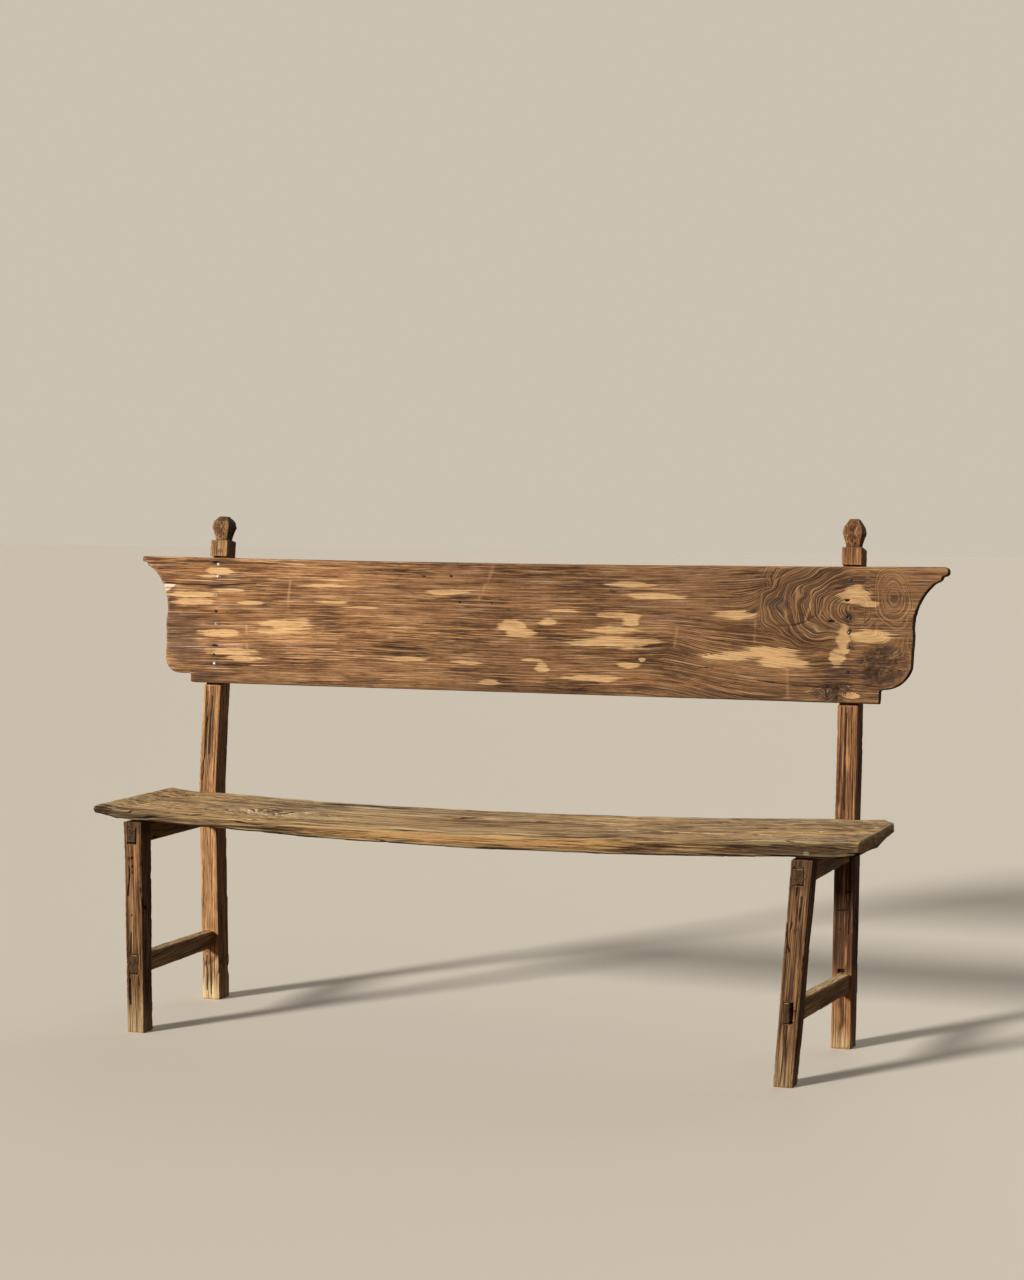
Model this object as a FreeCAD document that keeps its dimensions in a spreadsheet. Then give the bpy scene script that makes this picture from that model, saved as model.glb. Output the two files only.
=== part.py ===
import FreeCAD, Part

import os
import re

import Sketcher

# Monks bench: a long plank seat on two end frames, with a shaped back board nailed to the rear posts.
# Each end frame is a front leg and a rear post, joined by a seat rail and a lower stretcher.
# X runs along the bench, Y from front to back, Z up, and left and right are the viewer's.
# The origin is on the floor, midway along the back board and midway from front feet to finials.

doc = FreeCAD.newDocument("monks_bench")

# Every driving size, in millimetres or degrees
sizes = {
    # Where the end frames stand
    "frame_shift": -9,  # middle of the end frames from the middle of the back board
    "front_reach": 245,  # front of the front feet from the origin
    "post_face": 139,  # front face of the rear posts from the origin
    # Rear posts
    "post_foot_spread": 733,  # centre of a post's foot from the frames' middle
    "post_spread": 739.5,  # centre of a post at the bend
    "post_top_spread": 734,  # centre of a post at the top
    "post_width": 43,  # width of a post
    "post_depth": 50,  # depth of a post below the bend
    "post_depth_top": 46,  # depth of a post at the top
    "bend_height": 483,  # height at which the posts begin to lean back
    "rake_angle": 6,  # lean of the posts' upper part
    # Finials, cut on the posts' own tops
    "block_height": 37,  # square block above the back board
    "neck_width": 27,  # square neck on top of the block
    "bulb_width": 43,  # widest square of the bulb
    "bulb_rise": 30,  # neck to the widest square
    "shoulder_rise": 13,  # widest square to the finial's shoulder
    "shoulder_width": 38.5,  # square at the shoulder
    "cap_rise_left": 25,  # widest square to the flat top of the left finial
    "cap_rise_right": 30,  # widest square to the flat top of the right finial
    "cap_width": 18.5,  # flat top of a finial
    # Back board, measured up the lean of the posts
    "board_start": 238.5,  # bend to the lower edge of the board
    "board_height": 285,  # height of the board at its tips
    "board_thick": 24,  # thickness of the board
    "board_proud": 12,  # how far the board stands in front of the posts
    "board_tip": 933,  # half length at the tips
    "board_sag": 5,  # hollow of the top edge at mid length
    "lip_height_left": 13,  # height of the round lip at the left tip
    "lip_height_right": 19,  # height of the round lip at the right tip
    "bead_reach": 919,  # half length at the bead under the lip
    "bead_height": 8,  # height of the bead
    "ledge_reach": 903,  # half length at the inner end of the ledge under the bead
    "ledge_drop": 8,  # how far the ledge falls from the bead
    "cove_height": 108,  # height of the hollow curve under the ledge
    "cove_hollow": 14.5,  # depth of that curve from its chord
    "board_side": 864,  # half length at the foot of the curve
    "side_foot": 861.5,  # half length at the lower corner
    "corner_top_left": 52,  # lower edge up to the left rounded corner
    "corner_top_right": 76,  # lower edge up to the right rounded corner
    "corner_reach_left": 33,  # length of the left rounded corner
    "corner_reach_right": 60,  # length of the right rounded corner
    "corner_bulge_left": 8.5,  # bulge of the left rounded corner from its chord
    "corner_bulge_right": 12.5,  # bulge of the right rounded corner from its chord
    "step_reach": 796,  # half length of the lower edge, inside the step
    "step_rise_left": 20.5,  # height of the left step
    "step_rise_right": 29.5,  # height of the right step
    "split_height": 220,  # lower edge up to the split in the left end
    "split_mouth": 5,  # open height of the split at the end
    "split_length": 42,  # length of the open split
    "board_gap_below": 4,  # gap under the board in the posts' notches
    "board_gap_above": 2.5,  # gap over the board in the posts' notches
    # Front legs
    "leg_foot_spread": 715,  # centre of a leg's foot from the frames' middle
    "leg_top_spread_left": 737,  # centre of the left leg's top
    "leg_top_spread_right": 742,  # centre of the right leg's top
    "leg_top_left": 448.5,  # height of the left leg
    "leg_top_right": 444,  # height of the right leg
    "leg_lean": 33,  # how far a leg's foot stands in front of its top
    "leg_width": 43,  # width at the top
    "leg_foot_width": 39,  # width at the foot
    "leg_depth": 45,  # depth at the top
    "leg_foot_depth": 42,  # depth at the foot
    # Seat rails, which carry the seat
    "rail_spread": 737,  # centre of a rail from the frames' middle
    "rail_top_left": 452,  # height of the left rail's top
    "rail_top_right": 448,  # height of the right rail's top
    "rail_height_left": 50,  # height of the left rail
    "rail_height_right": 54,  # height of the right rail
    "rail_width": 28,  # width of a rail
    "rail_tenon_width": 20,  # width of its tenons
    "rail_tenon_height": 34,  # height of its tenons
    # Lower stretchers
    "stretcher_front_spread": 722.5,  # centre of a stretcher at the leg
    "stretcher_back_spread": 739,  # centre of a stretcher at the post
    "stretcher_front_height": 145,  # middle of a stretcher above the floor at the leg
    "stretcher_back_height": 138,  # middle of a stretcher above the floor at the post
    "stretcher_width": 26,  # width of a stretcher
    "stretcher_front_tall": 42,  # height of a stretcher at the leg
    "stretcher_back_tall": 38,  # height of a stretcher at the post
    "stretcher_tenon_width": 19,  # width of its tenons
    "blind_depth": 32,  # depth of the blind tenons in the posts
    "joint_clearance": 0.3,  # clearance round each tenon
    # Seat plank
    "seat_left": 841,  # left end of the seat from the origin
    "seat_right": 851,  # right end of the seat from the origin
    "seat_front_gap": 1,  # how far the seat's front edge stands in front of the legs' tops
    "seat_back_gap": 0.3,  # gap from the seat's back edge to the posts
    "seat_thick_left": 22,  # thickness over the left rail
    "seat_thick_right": 33.5,  # thickness over the right rail
    "seat_sag": 14.5,  # how far the seat's top hangs at mid length
    "seat_belly": 19,  # how far its underside hangs
    "seat_bearing": 60,  # length of the flat part over each rail
    "curl_left": 13,  # rise of the underside at the left end
    "curl_left_top": 7,  # rise of the top at the left end
    "curl_right": 1,  # rise of the underside at the right end
    "curl_right_top": 6.5,  # rise of the top at the right end
    "seat_clip_length": 34,  # clipped right back corner, along the bench
    "seat_clip_depth": 60,  # clipped right back corner, across the bench
    "seat_round": 7,  # worn round of the seat's front edges
    # Hand-made nails
    "nail_shank": 4.4,  # width of a square shank
    "nail_tip": 1,  # width of its blunt tip
    "nail_head": 10,  # width of a faceted head
    "nail_head_top": 3.5,  # width of the flat on top of a head
    "nail_head_height": 2.2,  # height of a head
    "nail_point": 9,  # length of the point
    "nail_length": 50,  # length of a board nail under its head
    "seat_nail_length": 56,  # length of a seat nail under its head
    "nail_clearance": 0.1,  # clearance round a shank
    "head_clearance": 0.4,  # clearance round a sunk head
    "seat_nail_sink": 1,  # how far the seat nails' heads lie under the surface
    "nail_offset_left": 6,  # left board nails from their post's centre
    "nail_offset_right": 3,  # right board nails from their post's centre
    "left_nail_1": 44,  # left nails, up from the board's lower edge
    "left_nail_2": 132,  # second left nail
    "left_nail_3": 200,  # third left nail
    "left_nail_4": 241,  # fourth left nail
    "left_nail_5": 268,  # fifth left nail
    "right_nail_1": 64,  # right nails, up from the board's lower edge
    "right_nail_2": 116,  # second right nail
    "right_nail_3": 146,  # third right nail
    "right_nail_4": 175,  # fourth right nail
    "right_nail_5": 255,  # fifth right nail
    "seat_nail_first": 50,  # seat's front edge to its first nail
    "seat_nail_pitch": 120,  # from one seat nail to the next
}

sheet = doc.addObject("Spreadsheet::Sheet", "Sizes")
for row, (name, value) in enumerate(sizes.items(), 1):
    sheet.set(f"A{row}", name)
    sheet.set(f"B{row}", str(value))
    sheet.setAlias(f"B{row}", name)
doc.recompute()

BOARD_NAILS = 5
SEAT_NAILS = 3
REACH = "(2 * board_tip)"
PARTS = "parts"
made = []


def linked(formula):
    """The formula with each size written as a reference to the sheet."""

    def reference(word):
        return "Sizes." + word[0] if word[0] in sizes else word[0]

    return re.sub(r"[a-z_]\w*", reference, str(formula))


def number(formula):
    """The value that a formula has now."""
    value = sheet.evalExpression(linked(formula))
    return getattr(value, "Value", value)


def bind(piece, **formulas):
    """Tie properties of a piece to formulas."""
    for name, formula in formulas.items():
        piece.setExpression(name, linked(formula))


def place(piece, x=0, y=0, z=0, turn=0):
    """Tie a piece's place, and its turn about X, to formulas."""
    piece.Placement = FreeCAD.Placement(FreeCAD.Vector(), FreeCAD.Rotation(FreeCAD.Vector(1, 0, 0), 1))
    for name, formula in (("Base.x", x), ("Base.y", y), ("Base.z", z), ("Rotation.Angle", turn)):
        piece.setExpression("Placement." + name, linked(formula))
    return piece


def leaning(piece, x=0, back=0, up=0, turn=0):
    """Place a piece on the posts' lean: up along the front face from the bend, and back from that face."""
    return place(
        piece,
        x,
        f"post_face + ({up}) * sin(rake_angle * 1deg) + ({back}) * cos(rake_angle * 1deg)",
        f"bend_height + ({up}) * cos(rake_angle * 1deg) - ({back}) * sin(rake_angle * 1deg)",
        f"{turn} - rake_angle",
    )


def outline(body, role, corners, lift=0):
    """A closed sketch on one of the body's planes. A corner is (x, y), or (x, y, bulge) after an arc."""
    sketch = body.newObject("Sketcher::SketchObject", body.Name + "_outline")
    plane = next(item for item in body.Origin.OriginFeatures if item.Role == role)
    sketch.AttachmentSupport = [(plane, [""])]
    sketch.MapMode = "FlatFace"
    sketch.setExpression("AttachmentOffset.Base.z", linked(lift))
    points = [FreeCAD.Vector(number(corner[0]), number(corner[1]), 0) for corner in corners]
    ends = []
    for index, corner in enumerate(corners):
        start, end = points[index - 1], points[index]
        if len(corner) == 2:
            side = sketch.addGeometry(Part.LineSegment(start, end))
        else:
            chord = end - start
            across = FreeCAD.Vector(-chord.y, chord.x, 0).normalize() * number(corner[2])
            side = sketch.addGeometry(Part.Arc(start, (start + end) / 2 + across, end))
        forward = sketch.getPoint(side, 1).isEqual(start, 1e-6)
        ends.append((side, 1 if forward else 2, 2 if forward else 1))
    for index, corner in enumerate(corners):
        side, first, last = ends[index]
        following, start, _ = ends[(index + 1) % len(corners)]
        sketch.addConstraint(Sketcher.Constraint("Coincident", side, last, following, start))
        for kind, formula, value in zip(("DistanceX", "DistanceY"), corner, points[index]):
            made_at = sketch.addConstraint(Sketcher.Constraint(kind, -1, 1, side, last, value))
            sketch.setExpression(f"Constraints[{made_at}]", linked(formula))
    for index, corner in enumerate(corners):
        if len(corner) == 3:
            before = corners[index - 1]
            across = f"(({corner[0]}) - ({before[0]}))"
            upward = f"(({corner[1]}) - ({before[1]}))"
            radius = f"(({across}^2 + {upward}^2) / 4 + ({corner[2]})^2) / (2 * abs({corner[2]}))"
            made_at = sketch.addConstraint(Sketcher.Constraint("Radius", ends[index][0], number(radius)))
            sketch.setExpression(f"Constraints[{made_at}]", linked(radius))
    return sketch


def body_of(name):
    """A new body."""
    return doc.addObject("PartDesign::Body", name)


def wedge(name, first, last):
    """A straight-sided bar along Y between two rectangles, each (distance, left, right, low, high)."""
    bar = doc.addObject("Part::Wedge", name)
    start, left, right, low, high = first
    bind(bar, Ymin=start, Xmin=left, Xmax=right, Zmin=low, Zmax=high)
    end, left, right, low, high = last
    bind(bar, Ymax=end, X2min=left, X2max=right, Z2min=low, Z2max=high)
    return bar


def upright(name, first, last):
    """The same bar made to stand: each rectangle is (height, left, right, front, back)."""
    stations = []
    for height, left, right, front, back in (first, last):
        stations.append((height, left, right, f"-({back})", f"-({front})"))
    return wedge(name, *stations)


def box(name, length, width, height):
    """A plain block."""
    block = doc.addObject("Part::Box", name)
    bind(block, Length=length, Width=width, Height=height)
    return block


def cut(name, base, *tools):
    """The base with the tools taken away."""
    result = doc.addObject("Part::Cut", name)
    result.Base = base
    result.Tool = tools[0] if len(tools) == 1 else joined(name + "_tools", *tools)
    return result


def joined(name, *pieces):
    """Pieces fused into one solid."""
    result = doc.addObject("Part::MultiFuse", name)
    result.Shapes = list(pieces)
    result.Refine = True
    return result


def inside(name, *pieces):
    """The space that pieces share."""
    result = doc.addObject("Part::MultiCommon", name)
    result.Shapes = list(pieces)
    return result


def group(name, pieces):
    """Like pieces that stay separate solids in one node."""
    result = doc.addObject("Part::Compound", name)
    result.Links = pieces
    return result


def finish(piece, label):
    """Give a finished piece the name that its file takes."""
    piece.Label = label
    made.append(piece)
    return piece


# Front legs and rear posts
def centre(sign, spread):
    """X of something that stands at a spread on one side of the frames' middle."""
    return f"(frame_shift + {sign} * ({spread}))"


def sides(middle, width):
    """Left and right of something with that middle and width."""
    return f"{middle} - ({width}) / 2", f"{middle} + ({width}) / 2"


def leg_blank(side, sign):
    """A front leg before its mortises: tapered, splayed forward, leaning in at the foot."""
    foot = sides(centre(sign, "leg_foot_spread"), "leg_foot_width")
    top = sides(centre(sign, "leg_top_spread_" + side), "leg_width")
    leg = upright(
        "leg_blank_" + side,
        (0, *foot, "-front_reach", "leg_foot_depth - front_reach"),
        ("leg_top_" + side, *top, "leg_lean - front_reach", "leg_lean + leg_depth - front_reach"),
    )
    return place(leg, turn=90)


BLOCK_FOOT = "(board_start + board_height + board_gap_above)"
BLOCK_TOP = f"({BLOCK_FOOT} + block_height)"


def post_blank(side, sign):
    """A rear post up to the top of its block: upright, then leaning back above the bend."""
    past = f"({BLOCK_TOP} + post_depth_top)"
    rise = f"{past} * cos(rake_angle * 1deg)"
    run = f"post_face + {past} * sin(rake_angle * 1deg)"
    depth = ("post_face", "post_face + post_depth")
    depth_past = (run, f"{run} + post_depth_top / cos(rake_angle * 1deg)")
    foot = (0, *sides(centre(sign, "post_foot_spread"), "post_width"), *depth)
    bend = ("bend_height", *sides(centre(sign, "post_spread"), "post_width"), *depth)
    top = (f"bend_height + {rise}", *sides(centre(sign, "post_top_spread"), "post_width"), *depth_past)
    lower = upright("post_lower_" + side, foot, bend)
    upper = upright("post_upper_" + side, bend, top)
    blank = joined("post_blank_" + side, place(lower, turn=90), place(upper, turn=90))
    saw = box("post_saw_" + side, f"2 * {REACH}", REACH, REACH)
    return cut("post_shaft_" + side, blank, leaning(saw, f"-{REACH}", f"-{REACH} / 2", BLOCK_TOP))


def finial(side, sign):
    """The faceted bulb over the block: neck, widest square, shoulder and flat top."""
    stations = []
    for lift, width in (
        ("0", "neck_width"),
        ("bulb_rise", "bulb_width"),
        ("bulb_rise + shoulder_rise", "shoulder_width"),
        ("bulb_rise + cap_rise_" + side, "cap_width"),
    ):
        across = sides(centre(sign, "post_top_spread"), width)
        stations.append((lift, *across, *sides("post_depth_top / 2", width)))
    finial_parts = []
    for index, name in enumerate(("bulb_", "shoulder_", "cap_")):
        part = upright(name + side, *stations[index : index + 2])
        finial_parts.append(leaning(part, 0, 0, BLOCK_TOP, 90))
    return finial_parts


def board_notch(side, sign):
    """The notch in a post's front face that holds the back board."""
    height = "board_height + board_gap_below + board_gap_above"
    notch = box("notch_" + side, "3 * post_width", f"{REACH} + board_thick - board_proud", height)
    left = f"{centre(sign, 'post_spread')} - 1.5 * post_width"
    return leaning(notch, left, f"-{REACH}", "board_start - board_gap_below")


# Rails and stretchers
def rail_bar(name, side, sign, front, back, width, low, high):
    """A level bar of a seat rail's kind."""
    edges = sides(centre(sign, "rail_spread"), width)
    return wedge(name + side, (front, *edges, low, high), (back, *edges, low, high))


def stretcher_bar(name, side, sign, front, back, width, grow):
    """A bar of a stretcher's kind, which drifts outwards and down on its way back."""
    run = "(post_face + front_reach)"

    def at(distance, first, last):
        return f"({first} + ({last} - ({first})) * (({distance}) + front_reach) / {run})"

    stations = []
    for distance in (front, back):
        middle = centre(sign, at(distance, "stretcher_front_spread", "stretcher_back_spread"))
        level = at(distance, "stretcher_front_height", "stretcher_back_height")
        tall = at(distance, "stretcher_front_tall", "stretcher_back_tall")
        low, high = sides(level, f"{tall} + 2 * {grow}")
        stations.append((distance, *sides(middle, width), low, high))
    return wedge(name + side, *stations)


def in_leg(side, height):
    """Distance back of the middle of a leg at a height."""
    return f"(leg_lean * ({height}) / leg_top_{side} + leg_depth / 2 - front_reach)"


IN_POST = "(post_face + post_depth / 2)"
BEFORE_LEG = "(-front_reach - leg_depth)"
TENON_END = "(post_face + blind_depth)"


def shouldered(name, bar, tenon, leg, post):
    """A bar cut to its shoulders at leg and post, with a through tenon and a blind one."""
    shank = cut(name + "_shank", bar, leg, post)
    through = inside(name + "_through", tenon, leg)
    blind = inside(name + "_blind", tenon, post)
    return joined(name + "_whole", shank, through, blind)


def end_frame(side, sign, seat_holes):
    """One end frame but for the post, which is given back whole, with its mortises."""
    leg = leg_blank(side, sign)
    post = post_blank(side, sign)

    high = "rail_top_" + side
    low = f"({high} - rail_height_{side})"
    middle = in_leg(side, f"{high} - rail_tenon_height")
    bar = rail_bar("rail_bar_", side, sign, middle, IN_POST, "rail_width", low, high)
    tenon_top = f"{low} + rail_tenon_height"
    tenon = rail_bar("rail_tenon_", side, sign, BEFORE_LEG, TENON_END, "rail_tenon_width", low, tenon_top)
    rail = shouldered("rail_" + side, bar, tenon, leg, post)
    finish(cut("rail_drilled_" + side, rail, seat_holes), "seat_rail_" + side)
    rail_mortise = rail_bar(
        "rail_mortise_", side, sign, BEFORE_LEG, f"{TENON_END} + joint_clearance",
        "rail_tenon_width + 2 * joint_clearance",
        f"{low} - joint_clearance", f"{tenon_top} + joint_clearance",
    )

    middle = in_leg(side, "stretcher_front_height")
    bar = stretcher_bar("stretcher_bar_", side, sign, middle, IN_POST, "stretcher_width", 0)
    tenon = stretcher_bar("stretcher_tenon_", side, sign, BEFORE_LEG, TENON_END, "stretcher_tenon_width", 0)
    finish(shouldered("stretcher_" + side, bar, tenon, leg, post), "stretcher_" + side)
    stretcher_mortise = stretcher_bar(
        "stretcher_mortise_", side, sign, BEFORE_LEG, f"{TENON_END} + joint_clearance",
        "stretcher_tenon_width + 2 * joint_clearance", "joint_clearance",
    )

    finish(cut("leg_" + side, leg, rail_mortise, stretcher_mortise), "front_leg_" + side)
    return joined("post_whole_" + side, post, *finial(side, sign)), [rail_mortise, stretcher_mortise]


# Nails
def square(distance, width):
    """A square section of a bar along Y, centred on it."""
    return (distance, *sides(0, width), *sides(0, width))


def nail(name, length):
    """A forged nail along +Y, the underside of its faceted head at its own origin."""
    head = wedge(name + "_head", square("-nail_head_height", "nail_head_top"), square(0, "nail_head"))
    taper = square(f"{length} - nail_point", "nail_shank")
    shank = wedge(name + "_shank", square(0, "nail_shank"), taper)
    point = wedge(name + "_point", taper, square(length, "nail_tip"))
    return joined(name, head, shank, point)


HOLE = "(nail_shank / 2 + nail_clearance)"
SINK = "(nail_head / 2 + head_clearance)"


def board_nails(side, sign):
    """The nails that hold the board to one post, and the holes that they fill."""
    nails, holes = [], []
    x = f"{centre(sign, 'post_top_spread')} + nail_offset_{side}"
    depth = "nail_length + nail_clearance"
    for index in range(1, BOARD_NAILS + 1):
        up = f"board_start + {side}_nail_{index}"
        nails.append(leaning(nail(f"board_nail_{side}_{index}", "nail_length"), x, "-board_proud", up))
        hole = box(f"board_hole_{side}_{index}", f"2 * {HOLE}", depth, f"2 * {HOLE}")
        holes.append(leaning(hole, f"{x} - {HOLE}", "-board_proud", f"{up} - {HOLE}"))
    finish(group("nails_" + side, nails), "board_nails_" + side)
    return group("board_holes_" + side, holes)


def seat_nails(side, sign):
    """The nails through the seat into one rail, with their heads sunk, and the holes that they fill."""
    nails, holes = [], []
    x = centre(sign, "rail_spread")
    under_head = f"rail_top_{side} + seat_thick_{side} - seat_nail_sink - nail_head_height"
    depth = "(seat_nail_length + nail_clearance)"
    for index in range(SEAT_NAILS):
        y = f"{SEAT_FRONT} + seat_nail_first + {index} * seat_nail_pitch"
        nails.append(place(nail(f"seat_nail_{side}_{index}", "seat_nail_length"), x, y, under_head, -90))
        hole = box(f"seat_hole_{side}_{index}", f"2 * {HOLE}", f"2 * {HOLE}", depth)
        holes.append(place(hole, f"{x} - {HOLE}", f"{y} - {HOLE}", f"{under_head} - {depth}"))
        sink = box(f"seat_sink_{side}_{index}", f"2 * {SINK}", f"2 * {SINK}", "seat_thick_right")
        holes.append(place(sink, f"{x} - {SINK}", f"{y} - {SINK}", under_head))
    finish(group("seat_nails_in_" + side, nails), "seat_nails_" + side)
    return group("seat_holes_" + side, holes)


# Back board
def board_end(side):
    """One moulded end from the lower edge up: step, rounded corner, hollow curve, ledge, bead and lip."""
    top = "board_height"
    lip = f"({top} - lip_height_{side})"
    bead = f"({lip} - bead_height)"
    ledge = f"({bead} - ledge_drop)"
    nose = f"0.4 * lip_height_{side}"
    return [
        ("step_reach", 0),
        ("step_reach", "step_rise_" + side),
        ("side_foot - corner_reach_" + side, "step_rise_" + side),
        ("side_foot", "corner_top_" + side, "-corner_bulge_" + side),
        ("board_side", f"{ledge} - cove_height"),
        ("ledge_reach", ledge, "cove_hollow"),
        ("bead_reach", bead),
        ("bead_reach", lip),
        (f"board_tip - {nose}", lip),
        (f"board_tip - {nose}", top, f"-{nose}"),
    ]


def board_blank():
    """The board with its moulded ends and its slightly hollow top edge."""
    body = body_of("board_blank")
    right, left = board_end("right"), []
    bulge = ["board_sag"]
    for x, height, *following in reversed(board_end("left")):
        left.append((f"-({x})", height, *bulge))
        bulge = following
    sketch = outline(body, "XZ_Plane", right + left, "board_proud")
    pad = body.newObject("PartDesign::Pad", "board_pad")
    pad.Profile = sketch
    bind(pad, Length="board_thick")
    pad.Reversed = True
    return leaning(body, 0, 0, "board_start")


def board_split():
    """The wedge of wood lost where the left end has split along the grain."""
    body = body_of("split")
    sketch = outline(body, "XZ_Plane", [
        ("-board_tip", "split_height - split_mouth / 2"),
        ("-board_side", "split_height - split_mouth / 2"),
        ("split_length - board_side", "split_height + split_mouth / 4"),
        ("-board_side", "split_height + split_mouth / 2"),
        ("-board_tip", "split_height + split_mouth / 2"),
    ], "2 * board_proud")
    pad = body.newObject("PartDesign::Pad", "split_pad")
    pad.Profile = sketch
    bind(pad, Length="2 * board_thick + 2 * board_proud")
    pad.Reversed = True
    return leaning(body, 0, 0, "board_start")


# Seat
SEAT_FRONT = "(leg_lean - front_reach - seat_front_gap)"
SEAT_BACK = "(post_face - seat_back_gap)"


def seat_blank():
    """The plank: flat over each rail, sagging between them, curled up past the left one."""
    body = body_of("seat_blank")
    left_out, left_in = sides(centre(-1, "rail_spread"), "seat_bearing")
    right_in, right_out = sides(centre(1, "rail_spread"), "seat_bearing")
    left_top = "rail_top_left + seat_thick_left"
    right_top = "rail_top_right + seat_thick_right"
    sketch = outline(body, "XZ_Plane", [
        ("-seat_left", "rail_top_left + curl_left"),
        (left_out, "rail_top_left"),
        (left_in, "rail_top_left"),
        (right_in, "rail_top_right", "-seat_belly"),
        (right_out, "rail_top_right"),
        ("seat_right", "rail_top_right + curl_right"),
        ("seat_right", f"{right_top} + curl_right_top"),
        (right_out, right_top),
        (right_in, right_top),
        (left_in, left_top, "seat_sag"),
        (left_out, left_top),
        ("-seat_left", f"{left_top} + curl_left_top"),
    ], f"-{SEAT_FRONT}")
    pad = body.newObject("PartDesign::Pad", "seat_pad")
    pad.Profile = sketch
    bind(pad, Length=f"{SEAT_BACK} - {SEAT_FRONT}")
    pad.Reversed = True
    doc.recompute()
    edges = []
    for index, edge in enumerate(pad.Shape.Edges, 1):
        at_front = round(edge.BoundBox.YMax - number(SEAT_FRONT), 3) == 0
        upright_end = round(edge.BoundBox.XLength, 3) == 0
        if at_front and not upright_end:
            edges.append(f"Edge{index}")
    worn = body.newObject("PartDesign::Fillet", "seat_worn")
    worn.Base = (pad, edges)
    bind(worn, Radius="seat_round")
    return body


def seat_clip():
    """The corner lost at the right end of the seat's back edge."""
    body = body_of("clip")
    sketch = outline(body, "XY_Plane", [
        ("seat_right - seat_clip_length", SEAT_BACK),
        ("seat_right", f"{SEAT_BACK} - seat_clip_depth"),
        ("seat_right + seat_clip_length", f"{SEAT_BACK} - 2 * seat_clip_depth"),
        ("seat_right + seat_clip_length", f"{SEAT_BACK} + seat_clip_depth"),
        ("seat_right - 2 * seat_clip_length", f"{SEAT_BACK} + seat_clip_depth"),
    ])
    pad = body.newObject("PartDesign::Pad", "clip_pad")
    pad.Profile = sketch
    bind(pad, Length="2 * rail_top_left")
    return body


# Assembly
board_holes, seat_holes = [], []
for side, sign in (("left", -1), ("right", 1)):
    seat_holes.append(seat_nails(side, sign))
    board_holes.append(board_nails(side, sign))
    whole, mortises = end_frame(side, sign, seat_holes[-1])
    notch = board_notch(side, sign)
    finish(cut("post_" + side, whole, notch, *mortises, board_holes[-1]), "back_post_" + side)

finish(cut("board", board_blank(), board_split(), *board_holes), "back_board")
finish(cut("seat", seat_blank(), seat_clip(), *seat_holes), "seat_plank")

doc.recompute()

for piece in doc.Objects:
    if {"Invalid", "Error"} & set(piece.State):
        raise RuntimeError(f"{piece.Label} did not recompute: {piece.State}")

os.makedirs(PARTS, exist_ok=True)
for piece in made:
    if piece.Shape.isNull() or not piece.Shape.isValid():
        raise RuntimeError(f"{piece.Label} has no valid shape")
    piece.Shape.exportStep(os.path.join(PARTS, piece.Label + ".step"))
    print(piece.Label, len(piece.Shape.Solids), "solids", round(piece.Shape.Volume / 1000), "cm3")
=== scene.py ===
# %% [markdown]
# # An old plank bench, worn by a century of use
# The bench is one long seat plank on two end frames, with a shaped board nailed to the rear posts.
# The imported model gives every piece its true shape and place. This script gives each one its skin:
# rounded arrises, open checks, dents, flaked patina and bleached feet.
# Each wooden piece is copied as a fine mesh, worn down with numpy, and stored with a few numbers on
# every point, such as how bare or how stained the wood is there. The materials read those numbers.

import math
from itertools import product

import bmesh
import bpy
import numpy as np
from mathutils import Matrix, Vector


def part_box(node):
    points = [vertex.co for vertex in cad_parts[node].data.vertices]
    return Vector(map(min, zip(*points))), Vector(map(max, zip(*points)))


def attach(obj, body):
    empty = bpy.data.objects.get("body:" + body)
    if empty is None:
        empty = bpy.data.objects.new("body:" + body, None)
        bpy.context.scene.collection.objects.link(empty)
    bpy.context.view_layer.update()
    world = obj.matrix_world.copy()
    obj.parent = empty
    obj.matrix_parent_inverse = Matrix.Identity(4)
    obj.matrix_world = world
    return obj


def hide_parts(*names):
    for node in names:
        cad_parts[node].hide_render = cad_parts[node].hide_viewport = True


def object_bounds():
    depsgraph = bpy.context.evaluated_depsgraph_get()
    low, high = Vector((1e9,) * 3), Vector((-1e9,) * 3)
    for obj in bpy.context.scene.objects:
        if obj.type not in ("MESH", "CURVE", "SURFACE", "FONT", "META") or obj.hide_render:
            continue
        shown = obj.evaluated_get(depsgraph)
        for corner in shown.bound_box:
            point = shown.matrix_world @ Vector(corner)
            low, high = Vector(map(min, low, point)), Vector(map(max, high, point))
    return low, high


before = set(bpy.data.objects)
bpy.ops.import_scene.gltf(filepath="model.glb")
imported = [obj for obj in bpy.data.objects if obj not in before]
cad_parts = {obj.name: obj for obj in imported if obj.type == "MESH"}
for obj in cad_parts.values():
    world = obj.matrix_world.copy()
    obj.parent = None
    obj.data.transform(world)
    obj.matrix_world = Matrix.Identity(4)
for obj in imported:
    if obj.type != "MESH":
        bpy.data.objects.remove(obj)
cad_box = [list(corner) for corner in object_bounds()]
MM = 0.001
print("CAD box in metres:", [[round(value, 4) for value in corner] for corner in cad_box])

# %% [markdown]
# ## Camera
# The photograph was taken from the right of the bench with a long lens, a little above the seat.
# A perspective fit of the bench's own corners gave the place, the turn and the lens.

# %% Camera at the photograph's place
CAMERA_PLACE = (2.105, -5.329, 1.216)
CAMERA_TURN = 21.13
CAMERA_DROOP = 3.71
camera = bpy.data.objects.new("camera", bpy.data.cameras.new("camera"))
camera.data.lens = 76.56
camera.location = CAMERA_PLACE
camera.rotation_euler = (math.radians(90 - CAMERA_DROOP), 0, math.radians(CAMERA_TURN))
bpy.context.scene.collection.objects.link(camera)
bpy.context.scene.camera = camera
print("camera", CAMERA_PLACE, "lens", round(camera.data.lens, 2))

# %% [markdown]
# ## Node trees
# Materials, the sky and the nails are all node trees. This helper adds nodes to any of them.


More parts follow.
